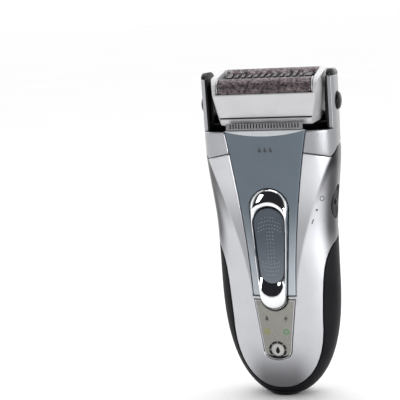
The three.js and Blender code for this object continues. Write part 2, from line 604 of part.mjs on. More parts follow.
function makeCutters() {
  const foilY = FOIL_SPACING / 2;
  const bladeRow = (y) =>
    cut(
      arch(y, FOIL_RADIUS - 0.7, FOIL_CREST - 0.7, 11, -19.5, 19.5),
      arch(y, FOIL_RADIUS - 1.6, FOIL_CREST - 1.6, 8, -30, 30),
      ...Array.from({ length: 7 }, (_, i) => box(-17.4 + i * 5.2, -13.8 + i * 5.2, y - 10, y + 10, 15.5, 30)),
    );
  const base = cut(
    join(box(-17, 17, -12, 12, 3, 6.4), box(-5, 5, -4, 5.6, 2.4, 6.4)),
    box(-1.9, 1.9, -2.1, 4.3, 0, 5.9),
  );
  const spring = (y) => {
    const [low, high, radius, wire, turns] = [6.8, 14.5, 2.0, 0.3, 4];
    class Coil extends THREE.Curve {
      getPoint(t) {
        const angle = 2 * Math.PI * turns * t;
        return new THREE.Vector3(radius * Math.cos(angle), y + radius * Math.sin(angle), low + (high - low) * t);
      }
    }
    const section = new THREE.Shape().absarc(0, 0, wire, 0, 2 * Math.PI);
    return solid(
      new THREE.ExtrudeGeometry(section, { extrudePath: new Coil(), steps: 32, curveSegments: 2 }),
    );
  };
  return [
    part("cutter_base", base, BLACK),
    part("front_blade_row", bladeRow(-foilY), STEEL),
    part("rear_blade_row", bladeRow(foilY), STEEL),
    part("front_row_spring", spring(-foilY), STEEL),
    part("rear_row_spring", spring(foilY), STEEL),
  ];
}

function makeCarrier() {
  const [inner, outer, radius, thickness] = [26.9, 27.9, 8, 0.8];
  // The side plates end in a half circle about the swivel axis, and a trough joins them.
  const side = new THREE.Shape();
  side.absarc(0, 0, radius, Math.PI, 2 * Math.PI);
  side.bezierCurveTo(radius, 8, 6.5, 13, 4.5, 17.5);
  side.bezierCurveTo(3, 19.4, -3, 19.4, -4.5, 17.5);
  side.bezierCurveTo(-6.5, 13, -radius, 8, -radius, 0);
  const plates = [[-outer, -inner], [inner, outer]].map(([x0, x1]) => prismAlongX(side, x0, x1));
  const pins = [[-29.6, -27.4], [27.4, 29.6]].map(([x0, x1]) => rod("x", 1.5, x0, x1, [0, 0], 16));
  const trough = cut(
    rod("x", radius, -outer, outer, [0, 0], 28),
    rod("x", radius - thickness, -30, 30, [0, 0], 28),
    box(-40, 40, -20, 20, 0.6, 20),
    box(-3.4, 3.4, -6.2, 2.6, -10, 0),
  );
  const posts = [[-20.4, -18.8], [18.8, 20.4]].map(([x0, x1]) => box(x0, x1, -3, 3, -7.1, 9));
  return part("head_carrier", join(trough, ...plates, ...pins, ...posts), BLACK);
}

// ---- Assembly -------------------------------------------------------------------------
const head = new THREE.Group();
head.position.copy(HEAD_AXIS);
head.rotation.x = HEAD_LEAN;
head.add(makeCarrier(), ...makeCutters(), ...makeCassette());

const shaver = new THREE.Group();
shaver.add(
  ...makeShells(),
  makeCollar(),
  makeLiner(),
  ...makePower(),
  ...makeDisplay(),
  ...makeElectronics(),
  ...makeScrews(),
  ...makeDrive(),
  ...makeButtons(),
  ...makeTrimmerSlide(),
  head,
);

export default shaver;
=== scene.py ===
# A cordless foil shaver: the looks around its CAD frame. Lengths are in millimetres until a mesh
# is made, +Z is up and the front faces -Y, as in the CAD source. METRE turns them into metres.
import json
import math

import bmesh
import bpy
import numpy as np
from mathutils import Matrix, Vector
from mathutils.geometry import delaunay_2d_cdt


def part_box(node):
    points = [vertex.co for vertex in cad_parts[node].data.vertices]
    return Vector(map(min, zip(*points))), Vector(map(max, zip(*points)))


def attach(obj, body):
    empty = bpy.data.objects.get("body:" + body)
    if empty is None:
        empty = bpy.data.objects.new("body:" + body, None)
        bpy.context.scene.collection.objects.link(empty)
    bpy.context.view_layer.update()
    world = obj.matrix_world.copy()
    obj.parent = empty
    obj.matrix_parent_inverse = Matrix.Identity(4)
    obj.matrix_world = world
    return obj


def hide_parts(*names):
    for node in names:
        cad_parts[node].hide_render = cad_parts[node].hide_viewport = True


METRE = 0.001
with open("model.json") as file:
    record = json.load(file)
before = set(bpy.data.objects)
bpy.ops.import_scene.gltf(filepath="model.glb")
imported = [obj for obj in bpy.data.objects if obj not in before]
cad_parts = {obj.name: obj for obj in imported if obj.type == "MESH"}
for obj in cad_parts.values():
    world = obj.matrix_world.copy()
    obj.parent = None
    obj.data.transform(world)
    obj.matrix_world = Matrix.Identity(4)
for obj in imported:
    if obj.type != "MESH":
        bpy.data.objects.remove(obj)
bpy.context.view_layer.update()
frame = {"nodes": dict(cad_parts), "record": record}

# ---- Sizes that follow the CAD source --------------------------------------------------
BODY_HALF_WIDTH, HEAD_EXTRA_WIDTH = 28.9, 3.0
BODY_TOP, WALL, GAP, FRONT_SLOPE = 130.0, 2.0, 0.3, 0.075
PANEL_BOTTOM, PANEL_TOP = 51.6, 130.6
BEZEL = dict(low=50.8, low_radius=6.2, high=94.0, high_radius=9.2)
PAD = dict(low=63.7, low_radius=5.8, high=87.0, high_radius=7.5)
TONGUE_BOTTOM, WAIST = 4.6, 78.0
SIDE_PARTING = [(-1, WAIST), (1, 80.5), (3.2, 84), (4.3, 90), (4.5, 104), (4.2, 113), (0.6, 124)]
TIP = [(-13.2, 110), (4.3, 110), (4.2, 113), (0.6, 124), (-8.3, 121.6), (-13.2, 117)]
SEAM_MIDDLE, SEAM_SIDE = 121.2, 113.6
FOOT_CAP = 2.3
SOCKET = dict(half_x=5.0, y0=1.8, y1=7.2)
SWITCH = dict(y=-4.3, z=95.0, half_y=5.2, half_z=7.9)
RELEASE = dict(y=-5.5, z=142.5, radius=4.1)
SCREWS = [(-15, 24), (15, 24), (-17, 104), (17, 104)]
CONTACTS, CONTACT_Z = (-6.0, 6.0), 34.0
ARM_INNER_X, LINER, CAP_Z, ARM_TOP = 28.3, 0.8, 154.5, 157.9
LED_X, LED_Z = 4.7, 33.7
HEAD_AXIS, HEAD_LEAN = Vector((0, -1.5, 134.5)), math.radians(12.5)
FOIL_SPACING, FOIL_RADIUS, FOIL_CREST, FOIL_FOOT, FOIL_HALF_LENGTH = 17.0, 4.8, 22.1, 15.0, 22.3
FOIL_THICKNESS = 0.14
SHAFT_HOLE = 3.6  # the deck's round hole for the drive, on the swivel axis


def smooth(low, high, value):
    t = np.clip((value - low) / (high - low), 0, 1)
    return t * t * (3 - 2 * t)


# ---- The body's outer form ------------------------------------------------------------
def half_width(z):
    rounding = np.where(z < 60, (1 - np.clip((60 - z) / 61, 0, 1) ** 2.6) ** (1 / 2.2), 1.0)
    return BODY_HALF_WIDTH * rounding + HEAD_EXTRA_WIDTH * smooth(82, 122, z)


def front_y(z):
    return -14.6 - FRONT_SLOPE * (z - 45) + 5 * (np.clip(45 - z, 0, 99) / 45) ** 4


def back_y(z):
    return 14.8 - 3.8 * smooth(50, 112, z) - 5.8 * (np.clip(30 - z, 0, 99) / 30) ** 3


def widest_y(z):
    return 3.5 - 0.07 * z


def squareness(z):
    return 2.4 + 0.6 * smooth(60, 118, z)


def crease_x(z):
    return 10.4 + 21.6 * (np.clip(z - 52, 0, 99) / 72) ** 1.45


def scoop_depth(z):
    return 1.5 * smooth(58, 88, z) * (1 - smooth(98, 122, z))


# Each height's half ring, from the front centre round to the back centre, at even arc lengths.
RING_Z = np.concatenate([np.linspace(0, 6, 61), np.linspace(6.25, 158, 608)])
RING_STEPS = 720


def ring_tables():
    theta = np.linspace(0, math.pi, 1801)
    z = RING_Z[:, None]
    power = 2 / squareness(z)
    half, side, crease = half_width(z), widest_y(z), crease_x(z)
    x = half * np.abs(np.sin(theta)) ** power
    reach = np.abs(np.cos(theta)) ** power
    ahead = np.cos(theta) > 0
    across = np.clip((x - crease) / np.maximum(half - crease, 1), 0, 1)
    scoop = scoop_depth(z) * 4 * across * (1 - across) * ahead
    y = side + np.where(ahead, front_y(z) - side, back_y(z) - side) * reach + scoop
    length = np.concatenate(
        [np.zeros((len(z), 1)), np.cumsum(np.hypot(np.diff(x), np.diff(y)), axis=1)], axis=1
    )
    even = np.linspace(0, 1, RING_STEPS + 1)
    rows_x = np.array([np.interp(even * s[-1], s, a) for s, a in zip(length, x)])
    rows_y = np.array([np.interp(even * s[-1], s, a) for s, a in zip(length, y)])
    return rows_x, rows_y, length[:, -1]


RING_X, RING_Y, HALF_GIRTH = ring_tables()


def half_girth(z):
    return np.interp(z, RING_Z, HALF_GIRTH)


def at_end_of_girth(p):
    """True for points where a half ring ends, whichever centre it starts from."""
    return np.abs(np.abs(p[:, 0]) - half_girth(p[:, 1])) < 0.06


def on_ring(u, z):
    """The skin's x and y at arc length u from the front centre, right positive, and height z."""
    u, z = np.broadcast_arrays(np.asarray(u, float), np.asarray(z, float))
    z = np.clip(z, RING_Z[0], RING_Z[-1])
    row = np.clip(np.searchsorted(RING_Z, z) - 1, 0, len(RING_Z) - 2)
    up = (z - RING_Z[row]) / (RING_Z[row + 1] - RING_Z[row])
    place = np.clip(np.abs(u) / half_girth(z), 0, 1) * RING_STEPS
    column = np.clip(place.astype(int), 0, RING_STEPS - 1)
    along = place - column

    def mixed(table):
        low = table[row, column] * (1 - along) + table[row, column + 1] * along
        high = table[row + 1, column] * (1 - along) + table[row + 1, column + 1] * along
        return low * (1 - up) + high * up

    return np.sign(u + 1e-12) * mixed(RING_X), mixed(RING_Y)


def skin(u, z, depth=0.0):
    """Points under the skin, at a depth along its normal."""
    step = 0.12

    def at(a, b):
        x, y = on_ring(a, b)
        return np.stack([x, y, np.broadcast_to(b, x.shape)], axis=-1)

    girth = half_girth(z)
    u = np.clip(u, -girth, girth)
    left, right = np.clip(u - step, -girth, girth), np.clip(u + step, -girth, girth)
    normal = np.cross(at(right, z) - at(left, z), at(u, z + step) - at(u, z - step))
    normal /= np.linalg.norm(normal, axis=-1, keepdims=True)
    return at(u, z) - normal * np.reshape(depth, np.shape(depth) + (1,) * (np.ndim(depth) > 0))


def skin_from_back(w, z, depth=0.0):
    """The same, with arc length w counted from the back centre."""
    return skin(np.where(w < 0, -1.0, 1.0) * (half_girth(z) - np.abs(w)), z, depth)


def u_at_x(x, z):
    row = np.array([np.interp(z, RING_Z, RING_X[:, k]) for k in range(0, RING_STEPS // 2 + 140, 4)])
    top = int(np.argmax(row)) + 1
    places = np.arange(0, RING_STEPS // 2 + 140, 4)[:top] / RING_STEPS * half_girth(z)
    return math.copysign(float(np.interp(abs(x), row[:top], places)), x)


def u_at_y(y, z):
    row = np.array([np.interp(z, RING_Z, RING_Y[:, k]) for k in range(0, RING_STEPS + 1, 4)])
    places = np.arange(0, RING_STEPS + 1, 4) / RING_STEPS * half_girth(z)
    return float(np.interp(y, np.maximum.accumulate(row), places))


def seam_z(x):
    return SEAM_SIDE + (SEAM_MIDDLE - SEAM_SIDE) * (1 - (x / 40) ** 2)


def seam_at_u(u, shift=0.0):
    z = 118.0
    for _ in range(12):
        z = seam_z(float(on_ring(u, z)[0])) + shift
    return z


# ---- Flat outlines --------------------------------------------------------------------
def panel_half(z):
    return 10.2 + 9 * (np.clip(z - 45, 0, 99) / 85) ** 1.7


def panel_outline(grow, bottom, top, steps=40):
    heights = np.linspace(bottom, top, steps)
    right = [(panel_half(z) + grow, z) for z in heights]
    return right + [(-x, z) for x, z in reversed(right)]


def drop_outline(shape, grow=0.0, steps=160):
    """The outline round two circles with straight tangents, evenly stepped, from the right side up."""
    low_radius, high_radius = shape["low_radius"] + grow, shape["high_radius"] + grow
    lift = math.asin((low_radius - high_radius) / (shape["high"] - shape["low"]))
    high = [(math.cos(a) * high_radius, shape["high"] + math.sin(a) * high_radius)
            for a in np.linspace(lift, math.pi - lift, 400)]
    low = [(math.cos(a) * low_radius, shape["low"] + math.sin(a) * low_radius)
           for a in np.linspace(math.pi - lift, 2 * math.pi + lift, 400)]
    return resample(high + low, count=steps)


def around(steps):
    """Even angles once round a circle."""
    return np.linspace(0, 2 * math.pi, steps, endpoint=False)


def ellipse(cu, cv, half_u, half_v, steps=64):
    return [(cu + half_u * math.cos(a), cv + half_v * math.sin(a)) for a in around(steps)]


def bezier(p0, p1, p2, p3, steps=14):
    t = np.linspace(0, 1, steps)[:, None]
    p0, p1, p2, p3 = map(np.array, (p0, p1, p2, p3))
    curve = (1 - t) ** 3 * p0 + 3 * (1 - t) ** 2 * t * p1 + 3 * (1 - t) * t**2 * p2 + t**3 * p3
    return [tuple(p) for p in curve]


def display_outline(grow=0.0):
    top, bottom, top_half, low_half, low_z = 49.5, 18.0, 9.9, 6.7, 24.5
    low = bezier((-low_half - grow, low_z), (-low_half - grow, bottom - grow),
                 (low_half + grow, bottom - grow), (low_half + grow, low_z), 30)
    return [(-top_half - grow, top + grow), *low, (top_half + grow, top + grow)]


def arm_outline():
    """The arm from the side, in y and z."""
    points = [(-17.2, 124), (-18.2, 148.3)]
    points += bezier((-18.2, 148.3), (-18.4, 155.3), (-13.5, ARM_TOP), (-8.5, ARM_TOP))[1:]
    points += bezier((-8.5, ARM_TOP), (0, ARM_TOP), (4.6, 153.3), (6.2, 146.3))[1:]
    points += bezier((6.2, 146.3), (7.4, 139), (9, 134), (9.6, 124))[1:]
    return points


def tongue_half(z):
    if z < 40:
        return 22 * (1 - ((40 - z) / (40 - TONGUE_BOTTOM)) ** 2.4) ** (1 / 2.2)
    return 22 + 2 * ((z - 40) / 36) + 4.2 * ((z - 40) / 36) ** 5


def resample(points, step=None, count=None):
    """A closed outline with even steps; its corners stay where step is given."""
    points = np.array(points, float)
    closed = np.vstack([points, points[:1]])
    lengths = np.hypot(*np.diff(closed, axis=0).T)
    if count:
        total = np.concatenate([[0], np.cumsum(lengths)])
        at = np.linspace(0, total[-1], count, endpoint=False)
        return np.stack([np.interp(at, total, closed[:, k]) for k in (0, 1)], axis=1)
    out = []
    for a, b, length in zip(closed[:-1], closed[1:], lengths):
        parts = max(1, int(math.ceil(length / step)))
        out += [a + (b - a) * k / parts for k in range(parts)]
    return np.array([p for k, p in enumerate(out) if np.hypot(*(p - out[k - 1])) > 1e-4])


# ---- Regions: flat shapes joined and cut ------------------------------------------------
def cdt(points, edges, faces=()):
    """A triangulation: its points, its triangles, and the faces that each triangle comes from."""
    made = delaunay_2d_cdt([Vector(p) for p in points], edges, faces, 0, 1e-5, True)
    return np.array([tuple(v) for v in made[0]]), made[2], made[5]


def region(keep, *outlines):
    """The outlines' boundary loops where keep(set of outline numbers) is true."""
    points, faces = [], []
    for outline in outlines:
        if area(outline) < 0:
            outline = list(reversed([tuple(p) for p in outline]))
        faces.append(list(range(len(points), len(points) + len(outline))))
        points += [tuple(map(float, p)) for p in outline]
    where, triangles, owners = cdt(points, [], faces)
    directed = {}
    for triangle, owner in zip(triangles, owners):
        if keep(set(owner)):
            for a, b in zip(triangle, triangle[1:] + triangle[:1]):
                directed[(a, b)] = True
    following = {a: b for a, b in directed if (b, a) not in directed}
    loops = []
    while following:
        start, at = next(iter(following.items()))
        loop = [start]
        del following[start]
        while at != start and at in following:
            loop.append(at)
            at = following.pop(at)
        if len(loop) > 3:
            loops.append(where[loop])
    return [loop for loop in loops if abs(area(loop)) > 0.3]


def area(loop):
    x, y = np.array(loop).T
    return 0.5 * float(np.sum(x * np.roll(y, -1) - y * np.roll(x, -1)))


def segments(loops):
    starts = np.vstack(loops)
    ends = np.vstack([np.roll(loop, -1, axis=0) for loop in loops])
    return starts, ends


def inside(points, loops):
    starts, ends = segments(loops)
    out = np.zeros(len(points), bool)
    for first in range(0, len(points), 2000):
        px, py = points[first:first + 2000, 0, None], points[first:first + 2000, 1, None]
        (ax, ay), (bx, by) = starts.T, ends.T
        crosses = (ay > py) != (by > py)
        with np.errstate(divide="ignore", invalid="ignore"):
            at = ax + (py - ay) * (bx - ax) / np.where(by == ay, 1e-12, by - ay)
        out[first:first + 2000] = (np.sum(crosses & (px < at), axis=1) % 2) == 1
    return out


def distance(points, starts, ends):
    out = np.full(len(points), 1e9)
    along = ends - starts
    squared = np.maximum((along**2).sum(1), 1e-12)
    for first in range(0, len(points), 2000):
        p = points[first:first + 2000, None]
        t = np.clip(((p - starts) * along).sum(2) / squared, 0, 1)
        out[first:first + 2000] = np.sqrt(((p - starts - along * t[..., None]) ** 2).sum(2)).min(1)
    return out


# ---- Meshes ---------------------------------------------------------------------------
def make(name, points, faces, materials, sharp=45, face_materials=None):
    mesh = bpy.data.meshes.new(name)
    mesh.from_pydata([tuple(map(float, p)) for p in np.asarray(points) * METRE], [], faces)
    bm = bmesh.new()
    bm.from_mesh(mesh)
    bmesh.ops.remove_doubles(bm, verts=bm.verts, dist=1e-6)
    bmesh.ops.recalc_face_normals(bm, faces=bm.faces)
    bm.to_mesh(mesh)
    bm.free()
    for m in materials if isinstance(materials, (list, tuple)) else [materials]:
        mesh.materials.append(m)
    mesh.shade_smooth()
    mesh.set_sharp_from_angle(angle=math.radians(sharp))
    piece = bpy.data.objects.new(name, mesh)
    bpy.context.scene.collection.objects.link(piece)
    if face_materials:
        for face in mesh.polygons:
            face.material_index = face_materials(face.center / METRE)
    return piece


def plate(name, loops, place, materials, radius=0.35, thickness=2.0, spacing=1.5,
          lines=(), guides=(), open_edge=None, face_materials=None, grid=None):
    """A closed plate over a region of a surface, with its outer edge rounded off."""
    edge_step = min(spacing * 0.6, 0.9)
    loops = [resample(loop, edge_step) for loop in loops]
    starts, ends = segments(loops)
    real = np.ones(len(starts), bool)
    if open_edge is not None:
        real = ~(open_edge(starts) & open_edge(ends))
    points, edges = [], []
    for loop in loops:
        first = len(points)
        points += [tuple(p) for p in loop]
        edges += [(first + k, first + (k + 1) % len(loop)) for k in range(len(loop))]
    for share in (0.12, 0.38, 0.7, 1.05):
        away = share * radius
        for loop in loops:
            tangent = np.roll(loop, -1, axis=0) - np.roll(loop, 1, axis=0)
            tangent /= np.maximum(np.hypot(*tangent.T), 1e-9)[:, None]
            normal = np.stack([-tangent[:, 1], tangent[:, 0]], axis=1)
            for side in (-1, 1):
                offset = loop + normal * away * side
                good = inside(offset, loops) & (distance(offset, starts, ends) > 0.93 * away)
                points += [tuple(p) for p in offset[good]]
    low, high = np.vstack(loops).min(0), np.vstack(loops).max(0)
    if grid is None:
        columns = np.arange(low[0], high[0], spacing)
        rows = np.arange(low[1], high[1], spacing * 0.87)
        lattice = np.array([(x + (k % 2) * spacing / 2, y) for k, y in enumerate(rows) for x in columns])
    else:
        lattice = np.array(grid)
    clear = inside(lattice, loops)
    lattice = lattice[clear]
    lattice = lattice[distance(lattice, starts, ends) > max(1.35 * radius, edge_step * 0.7)]
    creases = []
    for number, line in enumerate([*lines, *guides]):
        line = np.array(line)
        line = line[inside(line, loops)]
        if len(line) < 2:
            continue
        line = line[distance(line, starts, ends) > 0.1]
        first = len(points)
        points += [tuple(p) for p in line]
        edges += [(first + k, first + k + 1) for k in range(len(line) - 1)]
        lattice = lattice[distance(lattice, line[:-1], line[1:]) > spacing * 0.4]
        if number < len(lines):
            creases.append(line)
    points += [tuple(p) for p in lattice]
    where, triangles, _ = cdt(points, edges)
    triangles = np.array(triangles)
    triangles = triangles[inside(where[triangles].mean(1), loops)]
    used, triangles = np.unique(triangles, return_inverse=True)
    triangles = triangles.reshape(-1, 3)
    where = where[used]
    near = distance(where, starts[real], ends[real])
    rounded = np.clip(radius - near, 0, radius)
    depth = radius - np.sqrt(np.maximum(radius**2 - rounded**2, 0))
    outer = place(where[:, 0], where[:, 1], depth)
    inner = place(where[:, 0], where[:, 1], np.full(len(where), thickness))
    count = len(where)
    faces = [tuple(map(int, t)) for t in triangles]
    rim = {}
    for a, b, c in faces:
        for e in ((a, b), (b, c), (c, a)):
            rim[e] = rim.get(e, 0) + 1
    rim = [(a, b) for a, b in rim if (b, a) not in rim]
    if open_edge is not None:
        on_edge = open_edge(where)
        rim = [(a, b) for a, b in rim if not (on_edge[a] and on_edge[b])]
    faces += [(c + count, b + count, a + count) for a, b, c in faces]
    faces += [(b, a, a + count, b + count) for a, b in rim]
    piece = make(name, np.vstack([outer, inner]), faces, materials, face_materials=face_materials)
    if creases:
        on_surface = [place(line[:, 0], line[:, 1], np.zeros(len(line))) * METRE for line in creases]
        mark_creases(piece.data, on_surface)
    return piece


def mark_creases(mesh, lines):
    """Edges that lie along a crease stay crisp."""
    spots = np.vstack(lines)
    position = np.array([v.co for v in mesh.vertices])
    close = set()
    for k in range(0, len(position), 1000):
        gap = np.linalg.norm(position[k:k + 1000, None] - spots[None], axis=2).min(1)
        close |= {k + int(i) for i in np.nonzero(gap < 2e-5)[0]}
    attribute = mesh.attributes.get("sharp_edge") or mesh.attributes.new("sharp_edge", "BOOLEAN", "EDGE")
    for edge in mesh.edges:
        if edge.vertices[0] in close and edge.vertices[1] in close:
            attribute.data[edge.index].value = True


def set_painted_shading(piece, amount):
    """How far each vertex's colour goes towards its finish's painted shade or painted highlight colour."""
    spot = np.array([v.co for v in piece.data.vertices]) / METRE
    painted_shading = piece.data.attributes.new("painted_shading", "FLOAT", "POINT")
    painted_shading.data.foreach_set("value", amount(*spot.T).astype(np.float32))


def flat_front(inset=0.0, raise_by=0.0):
    """Places x and z on the front skin, at a depth straight behind it."""
    def place(x, z, depth):
        n = squareness(z)
        side = widest_y(z)
        y = side + (front_y(z) - side) * (1 - np.clip(np.abs(x) / half_width(z), 0, 1) ** n) ** (1 / n)
        return np.stack([x, y + inset + depth - raise_by, np.broadcast_to(z, np.shape(x))], axis=-1)
    return place


def leaned(x, ahead, z):
    """A point drawn straight in front of the face at height 70, leaned with the face."""
    tilt = math.atan(FRONT_SLOPE)
    cos, sin = math.cos(tilt), math.sin(tilt)
    dz, dy = np.asarray(z, float) - 70, -np.asarray(ahead, float)
    return np.stack([np.asarray(x, float) + 0 * dz, front_y(70.0) + cos * dy - sin * dz,
                     70 + sin * dy + cos * dz], axis=-1)


def ring_mesh(sections, close_sections=True):
    """Faces over equal cross-sections set round a loop; each section is a closed outline."""
    count, size = len(sections), len(sections[0])
    points = np.vstack(sections)
    faces = []
    for k in range(count if close_sections else count - 1):
        a, b = k * size, ((k + 1) % count) * size
        for i in range(size):
            j = (i + 1) % size
            faces.append((a + i, a + j, b + j, b + i))
    if not close_sections:
        faces.append(tuple(range(size)))
        faces.append(tuple((count - 1) * size + i for i in reversed(range(size))))
    return points, faces


def merge(parts):
    points, faces, first = [], [], 0
    for p, f in parts:
        points.append(np.asarray(p, float))
        faces += [tuple(i + first for i in face) for face in f]
        first += len(p)
    return np.vstack(points), faces


def dome(centre, normal, radius, height, sides=12, rings=3, sink=0.15):
    """A low round bump with a closed foot below the surface."""
    normal = Vector(normal).normalized()
    across = normal.orthogonal().normalized()
    other = normal.cross(across)
    points, faces = [], []
    levels = [(radius, -sink)] + [
        (radius * math.cos(a), height * math.sin(a)) for a in np.linspace(0, math.pi / 2, rings + 1)[:-1]]
    for reach, rise in levels:
        for a in around(sides):
            points.append(Vector(centre) + normal * rise
                          + (across * math.cos(a) + other * math.sin(a)) * reach)
    points.append(Vector(centre) + normal * height)
    for level in range(len(levels) - 1):
        a, b = level * sides, (level + 1) * sides
        faces += [(a + k, a + (k + 1) % sides, b + (k + 1) % sides, b + k) for k in range(sides)]
    last = (len(levels) - 1) * sides
    faces += [(last + k, last + (k + 1) % sides, len(points) - 1) for k in range(sides)]
    faces.append(tuple(reversed(range(sides))))
    return [tuple(p) for p in points], faces


# ---- Materials ------------------------------------------------------------------------
def material(name, color, roughness, metallic=0.0, second=None, patch=60, fine=900, bump=0.02,
             roughness_spread=0.06, stretch=(1, 1, 1), coat=0.0, coat_roughness=0.08, specular=0.5,
             anisotropic=0.0, emission=None, sheen=0.0, cells=None, painted_shading=None):
    """A procedural finish: patches of a second colour, uneven gloss and a fine relief."""
    made = bpy.data.materials.new(name)
    made.use_nodes = True
    made.diffuse_color = (*color, 1)
    tree = made.node_tree
    shader = tree.nodes["Principled BSDF"]
    link = tree.links.new
    place = tree.nodes.new("ShaderNodeTexCoord")
    scaled = tree.nodes.new("ShaderNodeMapping")
    scaled.inputs["Scale"].default_value = stretch
    link(place.outputs["Object"], scaled.inputs["Vector"])

    def noise(scale, detail=3.0):
        node = tree.nodes.new("ShaderNodeTexNoise")
        node.inputs["Scale"].default_value = scale
        node.inputs["Detail"].default_value = detail
        link(scaled.outputs["Vector"], node.inputs["Vector"])
        return node.outputs["Fac"]

    second = second or tuple(c * 0.9 for c in color)
    ramp = tree.nodes.new("ShaderNodeValToRGB")
    ramp.color_ramp.elements[0].position, ramp.color_ramp.elements[1].position = 0.35, 0.65
    ramp.color_ramp.elements[0].color = (*second, 1)
    ramp.color_ramp.elements[1].color = (*color, 1)
    link(noise(patch), ramp.inputs["Fac"])
    # Painted shading: a vertex attribute mixes the base colour towards a painted shade or painted highlight
    # colour.
    if painted_shading:
        amount = tree.nodes.new("ShaderNodeAttribute")
        amount.attribute_name = "painted_shading"
        mixed = tree.nodes.new("ShaderNodeMix")
        mixed.data_type = "RGBA"
        link(amount.outputs["Fac"], mixed.inputs["Factor"])
        link(ramp.outputs["Color"], mixed.inputs[6])
        mixed.inputs[7].default_value = (*painted_shading, 1)
        link(mixed.outputs[2], shader.inputs["Base Color"])
    else:
        link(ramp.outputs["Color"], shader.inputs["Base Color"])
    gloss = tree.nodes.new("ShaderNodeMapRange")
    gloss.inputs["To Min"].default_value = max(roughness - roughness_spread, 0.02)
    gloss.inputs["To Max"].default_value = min(roughness + roughness_spread, 1)
    link(noise(fine * 0.4), gloss.inputs["Value"])
    link(gloss.outputs["Result"], shader.inputs["Roughness"])
    relief = tree.nodes.new("ShaderNodeBump")
    relief.inputs["Strength"].default_value = 1.0
    relief.inputs["Distance"].default_value = bump * METRE
    if cells:
        spots = tree.nodes.new("ShaderNodeTexVoronoi")
        spots.inputs["Scale"].default_value = cells
        link(scaled.outputs["Vector"], spots.inputs["Vector"])
        link(spots.outputs["Distance"], relief.inputs["Height"])
    else:
        link(noise(fine, 2.0), relief.inputs["Height"])
    link(relief.outputs["Normal"], shader.inputs["Normal"])
    shader.inputs["Metallic"].default_value = metallic
    shader.inputs["Specular IOR Level"].default_value = specular
    shader.inputs["Coat Weight"].default_value = coat
    shader.inputs["Coat Roughness"].default_value = coat_roughness
    shader.inputs["Anisotropic"].default_value = anisotropic
    shader.inputs["Sheen Weight"].default_value = sheen
    if emission:
        shader.inputs["Emission Color"].default_value = (*emission[0], 1)
        shader.inputs["Emission Strength"].default_value = emission[1]
    return made


# The silver's near-black second colour is a painted reflection and painted shade, mixed in per vertex.
SILVER = material("silver_paint", (0.57, 0.575, 0.60), 0.29, 0.88, (0.545, 0.55, 0.575), 90, 2600,
                  0.002, 0.04, coat=0.2, coat_roughness=0.15, painted_shading=(0.012, 0.012, 0.015))
CASSETTE = material("silver_cassette", (0.56, 0.56, 0.575), 0.34, 0.6,
                    (0.53, 0.53, 0.545), 120, 2200, 0.004, 0.06)
# The slate's pale second colour is a painted highlight, mixed in per vertex.
SLATE = material("slate_paint", (0.107, 0.134, 0.161), 0.36, 0.6,
                 (0.10, 0.126, 0.151), 70, 2400, 0.004, 0.06,
                 coat=0.35, coat_roughness=0.2, painted_shading=(0.46, 0.50, 0.54))
PALE_EDGE = material("slate_edge", (0.60, 0.62, 0.64), 0.35, 0.1, (0.56, 0.58, 0.60), 70, 2400, 0.004, 0.05)
CHROME = material("chrome", (0.86, 0.87, 0.88), 0.05, 1.0, (0.83, 0.84, 0.86), 80, 500, 0.0012, 0.02)
BLACK = material("black_plastic", (0.005, 0.005, 0.006), 0.22, 0.0,
                 (0.007, 0.007, 0.008), 90, 2200, 0.004, 0.06,
                 specular=0.12)
GRIP = material("black_grip", (0.004, 0.004, 0.006), 0.5, 0.0, (0.007, 0.007, 0.009), 80, 1500, 0.02, 0.08,
                cells=1700, specular=0.1)
FRAME_SILVER = material("frame_silver", (0.60, 0.60, 0.61), 0.36, 0.35,
                        (0.57, 0.57, 0.58), 120, 2200, 0.004, 0.05)
DARK_STEEL = material("dark_steel", (0.06, 0.05, 0.05), 0.4, 1.0,
                      (0.045, 0.04, 0.04), 300, 1800, 0.004, 0.08)
RUBBER = material("seal_rubber", (0.02, 0.021, 0.023), 0.75, 0.0,
                  (0.026, 0.026, 0.028), 80, 1500, 0.02, 0.08)
STEEL = material("brushed_steel", (0.58, 0.58, 0.59), 0.26, 1.0, (0.52, 0.52, 0.53), 300, 1800, 0.004, 0.08,
                 stretch=(0.08, 1, 1), anisotropic=0.4)
COMB_STEEL = material("comb_steel", (0.30, 0.30, 0.31), 0.3, 1.0,
                      (0.26, 0.26, 0.27), 300, 1800, 0.004, 0.08)
FOIL = material("shaving_foil", (0.33, 0.27, 0.285), 0.30, 0.95,
                (0.04, 0.032, 0.036), 750, 1500, 0.004, 0.08)
LABEL = material("display_window", (0.25, 0.245, 0.222), 0.28, 0.35,
                 (0.24, 0.235, 0.213), 160, 700, 0.001, 0.03,
                 stretch=(1, 1, 0.5), coat=0.25, coat_roughness=0.2)
SYMBOL = material("symbol_silver", (0.50, 0.50, 0.48), 0.3, 0.6, (0.44, 0.44, 0.42), 300, 1800, 0.003, 0.05)
